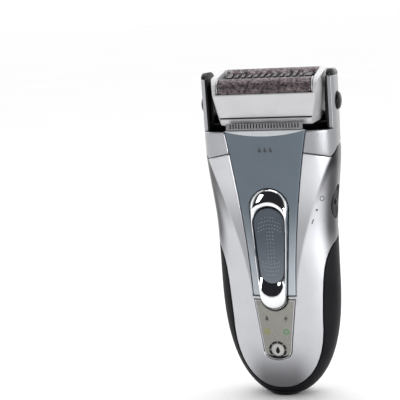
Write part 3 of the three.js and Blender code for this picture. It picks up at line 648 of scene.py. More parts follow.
# The pad's pale second colour is a painted highlight, mixed in per vertex.
PAD_FINISH = material("thumb_pad", (0.056, 0.070, 0.089), 0.38, 0.45,
                      (0.050, 0.064, 0.082), 120, 2200, 0.006, 0.06,
                      coat=0.2, coat_roughness=0.25, painted_shading=(0.155, 0.175, 0.20))
DOT = material("pad_dots", (0.30, 0.33, 0.37), 0.3, 0.6, (0.26, 0.29, 0.33), 200, 1800, 0.003, 0.06)
YELLOW = material("yellow_light", (0.26, 0.27, 0.03), 0.25, 0.0, (0.23, 0.24, 0.03), 500, 2200, 0.004, 0.05,
                  emission=((0.62, 0.7, 0.06), 0.05))
GREEN = material("green_light", (0.06, 0.25, 0.08), 0.25, 0.0, (0.05, 0.22, 0.07), 500, 2200, 0.004, 0.05,
                 emission=((0.05, 0.5, 0.1), 0.05))
BOARD = material("circuit_board", (0.012, 0.09, 0.035), 0.4, 0.0, (0.01, 0.07, 0.03), 400, 1800, 0.01, 0.08)
SLEEVE = material("battery_sleeve", (0.05, 0.14, 0.38), 0.3, 0.0,
                  (0.045, 0.12, 0.33), 120, 1800, 0.006, 0.06,
                  coat=0.4)
COPPER = material("contact_metal", (0.75, 0.52, 0.25), 0.22, 1.0,
                  (0.68, 0.46, 0.21), 300, 1800, 0.004, 0.08)

# ---- The front shell ------------------------------------------------------------------
SPREAD = 100.0  # wider than any half girth, for outlines that run off the region


def side_boundary(z, grow=0.0):
    """Arc length from the front centre to the silver front's edge, at height z."""
    if z < WAIST:
        return u_at_x(tongue_half(max(z, TONGUE_BOTTOM + 0.02)) + grow, z)
    ys, zs = zip(*SIDE_PARTING)
    return u_at_y(float(np.interp(z, zs, ys)) + grow, z)


def mirrored(right):
    """A closed outline from its right half, listed upwards."""
    return list(right) + [(-u, z) for u, z in reversed(right)]


def flank(points):
    """A y and z outline on the right side, as arc length and height."""
    return [(u_at_y(y, z), z) for y, z in points]


HEIGHTS_LOW = [TONGUE_BOTTOM, 4.8, 5.2, 5.8, 6.5, 7.5, 9, 11, 13, 16, 19, 23, 28, 34, 40, 46, 52, 58, 64,
               68, 71, 73.5, 75.5, 76.9, WAIST - 1e-3]
HEIGHTS_HIGH = [WAIST, 79.2, 80.5, 82, 84, 86, 88, 90, 94, 99, 104, 109, 113, 116, 119, 122, 124]
front_right = [(0.0, TONGUE_BOTTOM)] + [(side_boundary(z), z) for z in HEIGHTS_LOW[1:] + HEIGHTS_HIGH]
tip_right = flank(resample(TIP, 1.0))
below_seam = [(-SPREAD, -5), (SPREAD, -5)] + [
    (u, seam_at_u(u)) for u in np.linspace(SPREAD - 1, 1 - SPREAD, 150)]


def front_xz(points):
    return [(u_at_x(x, z), z) for x, z in resample(points, 1.0)]


channel = front_xz(panel_outline(GAP, PANEL_BOTTOM - GAP, 134))
display_hole = front_xz(display_outline(GAP))
bezel_hole = front_xz(drop_outline(BEZEL, 0.6))


def switch_outline(grow):
    return flank(ellipse(SWITCH["y"], SWITCH["z"], SWITCH["half_y"] + grow, SWITCH["half_z"] + grow))


def other_side(outline):
    return [(-u, z) for u, z in outline]


front_loops = region(
    lambda o: 0 in o and (1 in o or 2 in o or 3 in o) and not o & {4, 5, 6, 7},
    mirrored(front_right), below_seam, tip_right, other_side(tip_right),
    channel, display_hole, bezel_hole, switch_outline(GAP))


def beside_crease(offset, bottom=54.0):
    """A line along the crease, set off from it in x."""
    return [(u_at_x(float(crease_x(z)) + offset, z), z) for z in np.arange(bottom, 120.5, 0.8)]


crease_right = beside_crease(0, 60)
# Guide lines beside the crease let the painted shade on the scooped sides change crisply there.
painted_shade_guides = [beside_crease(offset) for offset in (-0.25, 0.45, 0.95, 1.7)]
front_piece = plate("silver_front", front_loops, skin, SILVER, radius=0.4, thickness=1.8, spacing=1.5,
                    lines=[crease_right, other_side(crease_right)],
                    guides=[*painted_shade_guides, *map(other_side, painted_shade_guides)])


# Painted reflection and shade: the silver's colour is painted towards black up the scooped sides,
# towards the tips and the outer edges, and painted deeper beside the panel and under the display as shade.
def silver_painted_shading(x, y, z):
    scooped = smooth(-0.1, 0.9, np.abs(x) - crease_x(z))
    tip_reflection = scooped * smooth(np.where(x < 0, 82, 94), np.where(x < 0, 114, 116), z) ** 0.65
    # Painted shade towards the outer edges of the scooped sides.
    rim = 0.9 * smooth(-7.5, -2.0, np.abs(x) - half_width(z)) * smooth(60, 84, z) * scooped
    beside_panel_shade = 0.42 * (1 - scooped) * smooth(46, 60, z) * (1 - smooth(82, 110, z))
    under_display_shade = 0.7 * (1 - smooth(8, 30, z)) * (1 - smooth(7, 19, np.abs(x)))
    return np.maximum(np.maximum(tip_reflection, rim), beside_panel_shade + under_display_shade)


set_painted_shading(front_piece, silver_painted_shading)
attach(front_piece, "handle")
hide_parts("front_shell")

# The slide's channel behind the panel, in the shell and in the collar.
stem_slot = [(-3.4, 66), (3.4, 66), (3.4, 85), (-3.4, 85)]
floor_loops = region(lambda o: 0 in o and 1 not in o,
                     panel_outline(1.6, PANEL_BOTTOM - 1.8, BODY_TOP), stem_slot)
channel_floor = plate("slide_channel", floor_loops, flat_front(2.6), BLACK, radius=0.2, thickness=1.3,
                      spacing=2.2)
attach(channel_floor, "handle")

# A dark bed closes the shell under the bezel's tail, and shows when the slide is up.
tail = [(-12, 40), (12, 40), (12, 53), (-12, 53)]
bed_loops = region(lambda o: o >= {0, 1}, drop_outline(BEZEL, 0.9, 120), tail)
bezel_bed = plate("bezel_bed", bed_loops, flat_front(2.75), BLACK, radius=0.1, thickness=0.6, spacing=2)
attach(bezel_bed, "handle")

# ---- The rear grip --------------------------------------------------------------------
GRIP_BOTTOM = FOOT_CAP + GAP


def rear_edge(z):
    return half_girth(z) - side_boundary(z, GAP)


lower = HEIGHTS_LOW[1:] + HEIGHTS_HIGH[:-4]
rear_right = [(float(half_girth(GRIP_BOTTOM)), GRIP_BOTTOM), (float(half_girth(3.4)), 3.4),
              (float(half_girth(TONGUE_BOTTOM - GAP)), TONGUE_BOTTOM - GAP)]
rear_right += [(float(rear_edge(z)), z - 0.25 * float(1 - smooth(5, 14, z))) for z in lower]
rear_right.append((float(rear_edge(124)), 124))
below_seam_back = [(-SPREAD, -5), (SPREAD, -5)] + [
    (w, seam_at_u(float(half_girth(118)) - abs(w))) for w in np.linspace(SPREAD - 1, 1 - SPREAD, 150)]


def back_xz(x, z):
    """A place on the back, given by its x and height, as arc length from the back centre."""
    row = np.array([np.interp(z, RING_Z, RING_X[:, k]) for k in range(RING_STEPS, RING_STEPS // 2, -4)])
    places = np.arange(0, RING_STEPS // 2, 4) / RING_STEPS * float(half_girth(z))
    top = int(np.argmax(row)) + 1
    return math.copysign(float(np.interp(abs(x), row[:top], places[:len(row)][:top])), x)


def back_hole(x, z, radius):
    return [(back_xz(px, pz), pz) for px, pz in ellipse(x, z, radius, radius, 28)]


screw_holes = [back_hole(x, z, 2.5) for x, z in SCREWS]
contact_holes = [back_hole(x, CONTACT_Z, 2.8) for x in CONTACTS]
switch_back = [(float(half_girth(z)) - u, z) for u, z in switch_outline(GAP)]
rear_loops = region(lambda o: 0 in o and 1 in o and not o & set(range(2, 9)),
                    mirrored(rear_right), below_seam_back, *screw_holes, *contact_holes, switch_back)


def grip_skin(w, z, depth):
    """The grip's skin, with a row of low ribs across the back."""
    w, z, depth = map(np.asarray, (w, z, depth))
    rib = 0.5 - 0.5 * np.cos(2 * math.pi * (z - 52) / 4.2)
    across = 1 - smooth(11, 14, np.abs(w))
    band = smooth(51, 54, z) * (1 - smooth(91, 94, z))
    groove = 0.6 * rib**2 * across * band * (depth < 1.5)
    return skin_from_back(w, z, depth + groove)


def grip_grid():
    """Mesh points over the grip, close together where the ribs are."""
    out = []
    for k, z in enumerate(np.arange(0, 124, 1.3)):
        out += [(w + (k % 2) * 0.75, z) for w in np.arange(-80, 80, 1.5)
                if not (abs(w) < 14.5 and 50.5 < z < 94.5)]
    for k, z in enumerate(np.arange(51, 94, 0.42)):
        out += [(w + (k % 2) * 0.6, z) for w in np.arange(-14, 14, 1.2)]
    return out


rear_piece = plate("rear_grip", rear_loops, grip_skin, GRIP, radius=0.4, thickness=1.8, spacing=1.5,
                   grid=grip_grid(), open_edge=at_end_of_girth)
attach(rear_piece, "handle")
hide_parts("rear_housing")

# ---- The foot -------------------------------------------------------------------------
FOOT_RING_Z = 1.0  # the foot's outline is the skin's at this height
foot_ring = [tuple(float(v) for v in on_ring(u, FOOT_RING_Z))
             for u in np.linspace(-1, 1, 121)[:-1] * float(half_girth(FOOT_RING_Z))]
end = (SOCKET["y1"] - SOCKET["y0"]) / 2
socket_middle = (SOCKET["y1"] + SOCKET["y0"]) / 2
socket_slot = [(SOCKET["half_x"] - end + end * math.cos(a), socket_middle + end * math.sin(a))
               for a in np.linspace(-math.pi / 2, math.pi / 2, 14)]
socket_slot += [(-x, 2 * socket_middle - y) for x, y in socket_slot]
foot_loops = region(lambda o: 0 in o and 1 not in o, foot_ring, socket_slot)


def foot_place(x, y, depth):
    """Depth runs up from the foot's flat, and the outline widens with the body."""
    z = np.asarray(depth, float)
    half, front, back = (float(edge(FOOT_RING_Z)) for edge in (half_width, front_y, back_y))
    from_middle = np.abs((y - (front + back) / 2) / ((back - front) / 2))
    rim = smooth(0.35, 0.9, np.maximum(np.abs(x) / half, from_middle))
    wide_x = x * (1 + (half_width(z) / half - 1) * rim)
    wide_y = y + rim * (front_y(z) + (y - front) / (back - front) * (back_y(z) - front_y(z)) - y)
    return np.stack([wide_x, wide_y, z], axis=-1)


foot_piece = plate("foot_plate", foot_loops, foot_place, BLACK, radius=0.5, thickness=FOOT_CAP, spacing=1.6)
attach(foot_piece, "handle")
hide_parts("foot_cap")

# ---- The head collar and its arms -------------------------------------------------------
ARM_SKIN_X = ARM_INNER_X + LINER + 0.1
ARM_EDGE_X = 30.7  # the arms end where the skin is this wide, which leaves them a flat front edge


def arm_limit(x_limit, z):
    """The y range where the skin stands wider than x_limit, at height z."""
    n, side, half = float(squareness(z)), float(widest_y(z)), float(half_width(z))
    reach = (1 - (x_limit / half) ** n) ** (1 / n)
    return side - reach * (side - float(front_y(z))), side + reach * (float(back_y(z)) - side)


def arm_side(x_limit, bottom, top, inset=0.05):
    """The arm's outline from the side, where the skin stands wider than x_limit, in y and z."""
    outline = resample(arm_outline(), 0.8)
    limits = [(z, *arm_limit(x_limit, z)) for z in np.arange(bottom - 2, 158, 1.0)]
    band = [(front + inset, z) for z, front, _ in limits]
    band += [(back - inset, z) for z, _, back in reversed(limits)]
    box = [(-40, bottom), (40, bottom), (40, top), (-40, top)]
    return region(lambda o: o >= {0, 1, 2}, outline, band, box)[0]


def above_seam():
    top = [(u, BODY_TOP) for u in np.linspace(-SPREAD, SPREAD, 100)]
    return [(u, seam_at_u(u, GAP)) for u in np.linspace(SPREAD, -SPREAD, 150)] + top


collar_ring = [(float(half_girth(z)), z) for z in np.linspace(112, 130, 12)]
TIP_GROWS = [(-1, 0), (1, 0), (1, 0), (1, 1), (-1, 1), (-1, 1)]  # the way each corner of TIP moves out
tip_gap = flank(resample([(y + GAP * dy, z + GAP * dz) for (y, z), (dy, dz) in zip(TIP, TIP_GROWS)], 1.0))
arm_right = flank(arm_side(ARM_EDGE_X, BODY_TOP - 1, CAP_Z))
release_edge = ellipse(RELEASE["y"], RELEASE["z"], RELEASE["radius"] + GAP, RELEASE["radius"] + GAP, 48)
release_hole = flank(release_edge)
collar_loops = region(
    lambda o: ((0 in o and 1 in o) or 2 in o or 3 in o) and not o & {4, 5, 6, 7, 8},
    mirrored(collar_ring), above_seam(), arm_right, other_side(arm_right), tip_gap, other_side(tip_gap),
    channel, release_hole, other_side(release_hole))


def collar_skin(u, z, depth):
    """The wall's inner face turns into the arms' flat inner face above the collar."""
    placed = skin(u, z, depth)
    deep = np.asarray(depth) > 1.0
    arm = (z > BODY_TOP + 0.02) * deep
    flat = skin(u, z, np.zeros_like(placed[..., 0]))
    flat[..., 0] = np.sign(flat[..., 0]) * ARM_SKIN_X
    mixed = placed + (flat - placed) * arm[..., None]
    shallow = (~deep) & (z > BODY_TOP + 0.5)
    x = mixed[..., 0]
    mixed[..., 0] = np.where(shallow, np.sign(x) * np.maximum(np.abs(x), ARM_SKIN_X + 0.05), x)
    return mixed


collar_piece = plate("head_collar_skin", collar_loops, collar_skin, SILVER, radius=0.4, thickness=1.8,
                     spacing=1.4, open_edge=at_end_of_girth)
# Painted shade: the collar's silver is painted darker all over, and darker still towards the right side,
# where the lamps light it most.
set_painted_shading(collar_piece, lambda x, y, z: 0.32 + 0.22 * smooth(5, 28, x))
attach(collar_piece, "handle")
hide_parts("head_collar")


def side_x(y, z):
    """How far out the skin lies at a place on the flank."""
    n, widest = squareness(z), widest_y(z)
    share = np.where(y < widest, (widest - y) / (widest - front_y(z)), (y - widest) / (back_y(z) - widest))
    return half_width(z) * (1 - np.clip(share, 0, 0.999) ** n) ** (1 / n)


def arm_place(side, inner_x, outer_x=None):
    """Places y and z on the arm: the outer face follows the skin, the inner face is flat."""
    def place(y, z, depth):
        x = side_x(y, z)
        if outer_x:
            x = np.minimum(x, outer_x)
        outer = np.maximum(x - depth, inner_x + 0.1)
        x = np.where(depth > 5, inner_x, outer)
        return np.stack([side * x, y + 0 * x, z + 0 * x], axis=-1)
    return place


for side, name in ((-1, "left"), (1, "right")):
    lining_loops = region(lambda o: 0 in o and 1 not in o,
                          arm_side(ARM_EDGE_X, BODY_TOP - 0.6, CAP_Z, inset=0.1), release_edge)
    lining = plate(f"arm_lining_{name}", lining_loops,
                   arm_place(side, ARM_INNER_X, ARM_INNER_X + LINER), BLACK, radius=0.15, thickness=9,
                   spacing=2.5)
    cap = plate(f"arm_cap_{name}", [arm_side(ARM_EDGE_X, CAP_Z + 0.12, ARM_TOP, inset=-0.1)],
                arm_place(side, ARM_INNER_X + 0.5), BLACK, radius=1.6, thickness=9, spacing=0.9,
                open_edge=lambda p: p[:, 1] < CAP_Z + 0.3)
    for piece in (lining, cap):
        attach(piece, "handle")

deck_ring = []
for u in np.linspace(-1, 1, 121)[:-1] * float(half_girth(124.5)):
    x, y = on_ring(u, 124.5)
    pull = 1 - (WALL + GAP) / math.hypot(float(x), float(y) + 5)
    deck_ring.append((float(x) * pull, (float(y) + 5) * pull - 5))
deck_start = float(front_y(123)) + 5.9  # leaves room for the trimmer
deck_front = [(-22.5, -40), (22.5, -40), (22.5, deck_start), (-22.5, deck_start)]
deck_loops = region(lambda o: 0 in o and not o & {1, 2}, deck_ring, deck_front, 
                     ellipse(HEAD_AXIS.x, HEAD_AXIS.y, SHAFT_HOLE, SHAFT_HOLE, 40))
deck = plate("head_deck", deck_loops, lambda x, y, depth: np.stack([x, y, 126 - depth], axis=-1), BLACK,
             radius=0.3, thickness=2.8, spacing=3)
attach(deck, "handle")
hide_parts("arm_lining")

# ---- The trimmer's slide panel ----------------------------------------------------------
SMILE_DEPTH = 2.6


def smile(x):
    """The lower edge of the panel's sloping lip, highest at the panel's corners."""
    return PANEL_TOP - SMILE_DEPTH * (1 - (x / 20.0) ** 2)


def panel_place(x, z, depth):
    lip = np.clip(z - smile(x), 0, 9)
    placed = flat_front(0.1)(x, z, depth)
    placed[..., 1] += np.where(np.asarray(depth) < 1, 0.38 * lip, 0)
    return placed


panel_loops = region(lambda o: 0 in o and 1 not in o, panel_outline(0, PANEL_BOTTOM, PANEL_TOP),
                     drop_outline(BEZEL, GAP, 120))
smile_line = [(x, smile(x)) for x in np.arange(-19, 19.1, 0.6)]
panel_piece = plate("slide_panel", panel_loops, panel_place, [SLATE, PALE_EDGE], radius=0.55, thickness=1.9,
                    spacing=1.6, lines=[smile_line],
                    face_materials=lambda c: int(c.z > smile(c.x) and c.y < float(front_y(c.z)) + 1.8))
# Painted highlight: the slate panel is painted lighter towards its bottom.
set_painted_shading(panel_piece, lambda x, y, z: 1 - smooth(48, 100, z))
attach(panel_piece, "trimmer")
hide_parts("trimmer_slide_panel")


# ---- The chrome bezel: a ring between two drops, domed between them -----------------------
def bezel_sections(count=220, steps=22):
    outer = drop_outline(BEZEL, -0.05, count)
    inner = drop_outline(PAD, GAP, count)
    # Both outlines start at the right side of their upper circle; match them by their share of length.
    sections = []
    for (ox, oz), (ix, iz) in zip(outer, inner):
        width = math.hypot(ox - ix, oz - iz)
        wide = min(1.0, max(0.0, (width - 2) / 5))
        crest = 1.9 + 0.8 * wide
        low = 1.15 - 0.6 * wide
        peak = 0.55 + (-0.38 if oz < 70 else 0.25) * wide
        profile = [(0.0, -2.0), (0.0, -0.2)]
        for k in range(steps + 1):
            t = k / steps
            rise = math.sin(min(t / peak, 1) * math.pi / 2) ** 0.75
            fall = low + (crest - low) * math.cos(max(t - peak, 0) / (1 - peak) * math.pi / 2)
            ahead = -0.2 + (crest + 0.2) * rise if t <= peak else fall
            profile.append((0.004 + t * 0.992, ahead))
        profile.append((1.0, -2.0))
        sections.append(np.array([leaned(ox + (ix - ox) * t, ahead, oz + (iz - oz) * t)
                                  for t, ahead in profile]))
    return sections


points, faces = ring_mesh(bezel_sections())
bezel_piece = make("chrome_bezel", points, faces, CHROME, sharp=50)
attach(bezel_piece, "trimmer")
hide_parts("slide_bezel")


def pad_place(x, z, depth):
    middle = np.hypot(x / 6.5, (z - 75.5) / 17)
    dish = 0.55 * np.clip(1 - middle**2, 0, 1)
    ahead = np.where(np.asarray(depth) < 1.2, 1.3 - dish - depth, -0.6)
    return leaned(x, ahead, z)


pad_piece = plate("thumb_pad_dished", [drop_outline(PAD, -0.02, 150)], pad_place, PAD_FINISH, radius=0.5,
                  thickness=1.5, spacing=0.8)
# Painted highlight: the pad is painted lighter towards its bottom.
set_painted_shading(pad_piece, lambda x, y, z: 0.8 * (1 - smooth(57, 84, z)))
dots = []
dot_rows = [(z, half, 1.3) for z, half in ((90.2, 3.2), (88.4, 4.6), (86.6, 5.2), (84.8, 5.2))]
dot_rows += [(z, 1.4, 1.4) for z in np.arange(83.0, 68.5, -1.8)]
dot_rows += [(z, half, 1.3) for z, half in ((67.4, 3.9), (65.6, 3.9), (63.8, 3.3), (62.0, 2.4))]
for z, half, pitch in dot_rows:
    for x in np.arange(-half, half + 0.01, pitch):
        bow = 0.06 * x * x * (1 if z < 75 else -1)
        spot = pad_place(np.array(x), np.array(z + bow), np.array(0.0))
        dots.append(dome(tuple(spot), (0, -1, -0.075), 0.27, 0.16, 10, 2))
points, faces = merge(dots)
dots_piece = make("thumb_pad_dots", points, faces, DOT)
for piece in (pad_piece, dots_piece):
    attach(piece, "trimmer")
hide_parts("thumb_pad")

# ---- The display ----------------------------------------------------------------------
display_loops = region(lambda o: 0 in o and 1 not in o, display_outline(0), drop_outline(BEZEL, 0.6, 120))
window = plate("display_face", display_loops, flat_front(0.12), LABEL, radius=0.45, thickness=1.5,
                spacing=1.2)
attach(window, "handle")
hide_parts("display_lens")


def front_ring(x, z, inner, outer, height, start=0.0, end=2 * math.pi, sides=40):
    """A flat-topped ring or arc of ring standing on the display."""
    whole = end - start > 2 * math.pi - 1e-6
    base = flat_front(0.12)
    sections = []
    for a in np.linspace(start, end, sides, endpoint=not whole):
        section = []
        for radius, ahead in ((inner, -0.1), (inner, height * 0.6), (inner + 0.08, height),
                              (outer - 0.08, height), (outer, height * 0.6), (outer, -0.1)):
            across, up = x + radius * math.cos(a), z + radius * math.sin(a)
            section.append(base(np.array(across), np.array(up), np.array(-ahead)))
        sections.append(np.array(section))
    return ring_mesh(sections, whole)


for name, x, finish, slot, light in (("clean_ring", -LED_X, YELLOW, "yellow_light", "clean_light"),
                                     ("charge_ring", LED_X, GREEN, "green_light", "charge_light")):
    points, faces = front_ring(x, LED_Z, 0.95, 1.4, 0.16)
    ring_piece = make(name, points, faces, finish)
    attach(ring_piece, "handle")
    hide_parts(light)

# A thin bright frame runs down both sides of the display and round its foot.
frame_loops = region(lambda o: 0 in o and not o & {1, 2}, display_outline(-0.12), display_outline(-0.5),
                     drop_outline(BEZEL, 0.9, 120))
window_frame = plate("display_frame", frame_loops, flat_front(-0.02), SILVER, radius=0.08, thickness=0.3,
                     spacing=0.6)
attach(window_frame, "handle")

SYMBOL_Z, SYMBOL_RADIUS = 24.6, 4.3
arcs = []
for k in range(8):
    start = 2 * math.pi * k / 8 + 0.07
    arcs.append(front_ring(0, SYMBOL_Z, 3.3, SYMBOL_RADIUS, 0.16, start, start + 2 * math.pi / 8 - 0.14, 9))
points, faces = merge(arcs)
segments_piece = make("display_segments", points, faces, BLACK)
points, faces = front_ring(0, SYMBOL_Z, 0.02, 2.9, 0.10)
symbol = make("display_symbol", points, faces, SYMBOL)
drop = [(0.95 * math.sin(a) * (1 - 0.35 * (math.cos(a) > 0) * math.cos(a)),
         SYMBOL_Z - 0.5 + 1.35 * math.cos(a) * (1 + 0.5 * (math.cos(a) > 0)))
        for a in around(40)]
drop_piece = plate("display_droplet", [np.array(drop)], flat_front(-0.04, 0.12), BLACK, radius=0.08,
                   thickness=0.2, spacing=0.5)
# A black crescent along the display's foot and sides stands in for the shade inside the window's lower
# edge: painted shade.
display_shade_loops = region(lambda o: 0 in o and 1 not in o, display_outline(-0.45),
                   [(x, z + 2.0 - 0.02 * x * x) for x, z in display_outline(0.5)])
display_shade_piece = plate("display_painted_shade", display_shade_loops, flat_front(-0.02), BLACK, radius=0.1, thickness=0.3,
                  spacing=0.5)
for piece, slot in ((symbol, "display_label"), (drop_piece, "black_plastic"),
                    (segments_piece, "black_plastic"), (display_shade_piece, "black_plastic")):
    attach(piece, "handle")


# ---- Generic marks: no lettering ---------------------------------------------------------
INK = material("mark_ink", (0.035, 0.037, 0.042), 0.45, 0.0, (0.03, 0.032, 0.036), 500, 2200, 0.003, 0.05)
MARK_HEIGHT = 0.05


def turned(points, angle, scale, centre):
    """A mark's outline, turned, scaled and set at its centre."""
    cos, sin = math.cos(angle) * scale, math.sin(angle) * scale
    return [(centre[0] + cos * x - sin * y, centre[1] + sin * x + cos * y) for x, y in points]


DROP = [(0.62 * math.sin(a) * (1 - 0.45 * max(math.cos(a), 0)),
         -0.25 + 0.62 * math.cos(a) + 0.75 * max(math.cos(a), 0) ** 3)
        for a in around(36)]
BOLT = [(0.3, 1.0), (-0.6, -0.2), (-0.1, -0.2), (-0.3, -1.0), (0.6, 0.2), (0.1, 0.2)]
BAR = [(-0.2, -0.9), (0.2, -0.9), (0.2, 0.9), (-0.2, 0.9)]
CIRCLE = ellipse(0, 0, 1, 1, 32)
INNER_CIRCLE = ellipse(0, 0, 0.72, 0.72, 32)


def mark(name, loops, place, body="handle"):
    piece = plate(name, loops, lambda a, b, depth: place(a, b, depth - MARK_HEIGHT), INK, radius=0.03,
                  thickness=0.2, spacing=0.5)
    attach(piece, body)


RUN = 0.42  # the start and stop marks climb along the crease
for name, x, z, shapes, scale in (("switch_mark_on", 19.9, 87.1, [BAR], 1.35),
                                  ("switch_mark_dot", 22.0, 92.5, [CIRCLE], 0.55),
                                  ("switch_mark_off", 24.5, 97.8, [CIRCLE, INNER_CIRCLE], 1.25)):
    mark(name, [turned(shape, -RUN, scale, (u_at_x(x, z), z)) for shape in shapes], skin)
mark("display_mark_drop", [turned(DROP, 0, 1.3, (-LED_X + 0.3, 40.3))], flat_front(0.12))
mark("display_mark_bolt", [turned(BOLT, 0, 1.7, (LED_X + 0.2, 40.3))], flat_front(0.12))
for k, x in enumerate((-2.6, 0.0, 2.6)):
    droplet = turned(DROP, 0, 1.25, (x, 121.5))
    mark(f"panel_mark_{k + 1}", [droplet], flat_front(0.1), "trimmer")

# ---- Buttons --------------------------------------------------------------------------
def switch_place(y, z, depth):
    away = np.hypot((y - SWITCH["y"]) / SWITCH["half_y"], (z - SWITCH["z"]) / SWITCH["half_z"])
    outer = side_x(y, z) - 0.35 - 0.5 * np.clip(1 - away**2, 0, 1) - depth
    x = np.where(np.asarray(depth) > 1.2, 25.6, np.minimum(outer, 29.4))
    return np.stack([x, y + 0 * x, z + 0 * x], axis=-1)


switch_edge = ellipse(SWITCH["y"], SWITCH["z"], SWITCH["half_y"], SWITCH["half_z"], 90)
button = plate("start_stop_cap", [switch_edge], switch_place, GRIP, radius=0.5,
               thickness=2.5, spacing=1.0)
nub_x = float(switch_place(np.array(SWITCH["y"]), np.array(SWITCH["z"]), np.array(0.0))[0])
points, faces = dome((nub_x, SWITCH["y"], SWITCH["z"]), (1, 0, 0), 1.5, min(0.9, 29.7 - nub_x), 28, 6)
nub = make("start_stop_nub", points, faces, BLACK)
for piece in (button, nub):
    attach(piece, "start_stop")
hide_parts("start_stop_button")

CAP_ROOT_X, CAP_ROUNDING = 30.0, 1.3
for side, name in ((-1, "left"), (1, "right")):
    low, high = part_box(f"release_button_{name}")
    top = max(abs(low.x), abs(high.x)) / METRE
    levels = [(RELEASE["radius"], CAP_ROOT_X), (RELEASE["radius"], top - CAP_ROUNDING)]
    levels += [(RELEASE["radius"] * math.cos(a), top - CAP_ROUNDING + CAP_ROUNDING * math.sin(a))
               for a in np.linspace(0.2, 1.45, 8)]
    rings = [[(side * x, y, z) for y, z in ellipse(RELEASE["y"], RELEASE["z"], radius, radius, 48)]
             for radius, x in levels]
    points, faces = ring_mesh([np.array(ring) for ring in rings], False)
    piece = make(f"release_cap_{name}", points, faces, BLACK)
    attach(piece, f"release_{name}")
    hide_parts(f"release_button_{name}")


# ---- The foils: arches of honeycomb ------------------------------------------------------
def head_point(x, y, z):
    """A point drawn upright about the swivel axis, leaned with the head."""
    cos, sin = math.cos(HEAD_LEAN), math.sin(HEAD_LEAN)
    return (x, HEAD_AXIS.y + cos * y - sin * z, HEAD_AXIS.z + sin * y + cos * z)


def foil_section(y, length):
    """The place along a foil's arch, at an arc length from its crest."""
    bend = FOIL_RADIUS * math.pi / 2
    if abs(length) <= bend:
        a = length / FOIL_RADIUS
        return y + FOIL_RADIUS * math.sin(a), FOIL_CREST - FOIL_RADIUS + FOIL_RADIUS * math.cos(a)
    return y + math.copysign(FOIL_RADIUS, length), FOIL_CREST - FOIL_RADIUS - (abs(length) - bend)


def foil_mesh(y, pitch=0.92, hole=0.62):
    """A sheet of hexagonal holes over the arch, with plain borders."""
    half = FOIL_RADIUS * math.pi / 2 + (FOIL_CREST - FOIL_RADIUS - FOIL_FOOT)
    border_x, border_v = 1.0, 0.8
    points, faces, index = [], [], {}

    def vertex(u, v):
        u, v = max(-FOIL_HALF_LENGTH, min(FOIL_HALF_LENGTH, u)), max(-half, min(half, v))
        key = (round(u, 3), round(v, 3))
        if key not in index:
            index[key] = len(points)
            yy, zz = foil_section(y, v)
            points.append(head_point(u, yy, zz))
        return index[key]

    radius = pitch / math.sqrt(3)
    row_step = 1.5 * radius
    rows = int((half - 0.2) * 2 / row_step)
    columns = int((FOIL_HALF_LENGTH - 0.2) * 2 / pitch)
    for row in range(rows):
        v = (row - (rows - 1) / 2) * row_step
        for column in range(columns - row % 2):
            u = (column - (columns - 1) / 2) * pitch + (row % 2) * pitch / 2
            corners = [(u + radius * math.sin(a), v + radius * math.cos(a))
                       for a in np.arange(6) * math.pi / 3]
            rim = [vertex(*c) for c in corners]
            open_hole = abs(u) < FOIL_HALF_LENGTH - border_x and abs(v) < half - border_v
            if open_hole:
                inner = [vertex(u + (a - u) * hole, v + (b - v) * hole) for a, b in corners]
                faces += [(rim[k], rim[(k + 1) % 6], inner[(k + 1) % 6], inner[k]) for k in range(6)]
            else:
                faces.append(tuple(rim))
    return points, faces


def frame_half(z):
    """The cassette frame's half width at its front and back faces."""
    return 21.5 + 3.0 * (z - 1.4) / 14.8


for side, name in ((-1, "front"), (1, "rear")):
    def face_place(x, z, depth, side=side):
        points = head_point(x, side * (14.42 - depth), z)
        return np.stack([points[0] + 0 * x, points[1] + 0 * x, points[2] + 0 * x], axis=-1)

    for label, low, high in (("face", 5.2, 16.1), ("band", 1.5, 4.55)):
        outline = [(-frame_half(low) + 0.15, low), (frame_half(low) - 0.15, low),
                   (frame_half(high) - 0.15, high), (-frame_half(high) + 0.15, high)]
        panel = plate(f"cassette_{name}_{label}", [np.array(outline)], face_place, CASSETTE, radius=0.22,
                      thickness=0.3, spacing=2.5)
        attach(panel, "cassette")
    low_end, high_end = frame_half(4.6) - 0.3, frame_half(5.2) - 0.3
    # A black strip behind the gap between face and band stands in for the shade in the groove: painted
    # shade.
    line = [(-low_end, 4.6), (low_end, 4.6), (high_end, 5.15), (-high_end, 5.15)]
    groove = plate(f"cassette_{name}_groove", [np.array(line)],
                   lambda x, z, depth, put=face_place: put(x, z, depth + 0.3), BLACK,
                   radius=0.05, thickness=0.3, spacing=2.5)
    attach(groove, "cassette")

for y, name, body in ((-FOIL_SPACING / 2, "front", "foil_front"), (FOIL_SPACING / 2, "rear", "foil_rear")):
    points, faces = foil_mesh(y)
    foil = make(f"{name}_foil_sheet", points, faces, FOIL, sharp=180)
    thick = foil.modifiers.new("thickness", "SOLIDIFY")
    thick.thickness, thick.offset = FOIL_THICKNESS * METRE, -1
    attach(foil, body)
    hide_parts(f"{name}_foil")

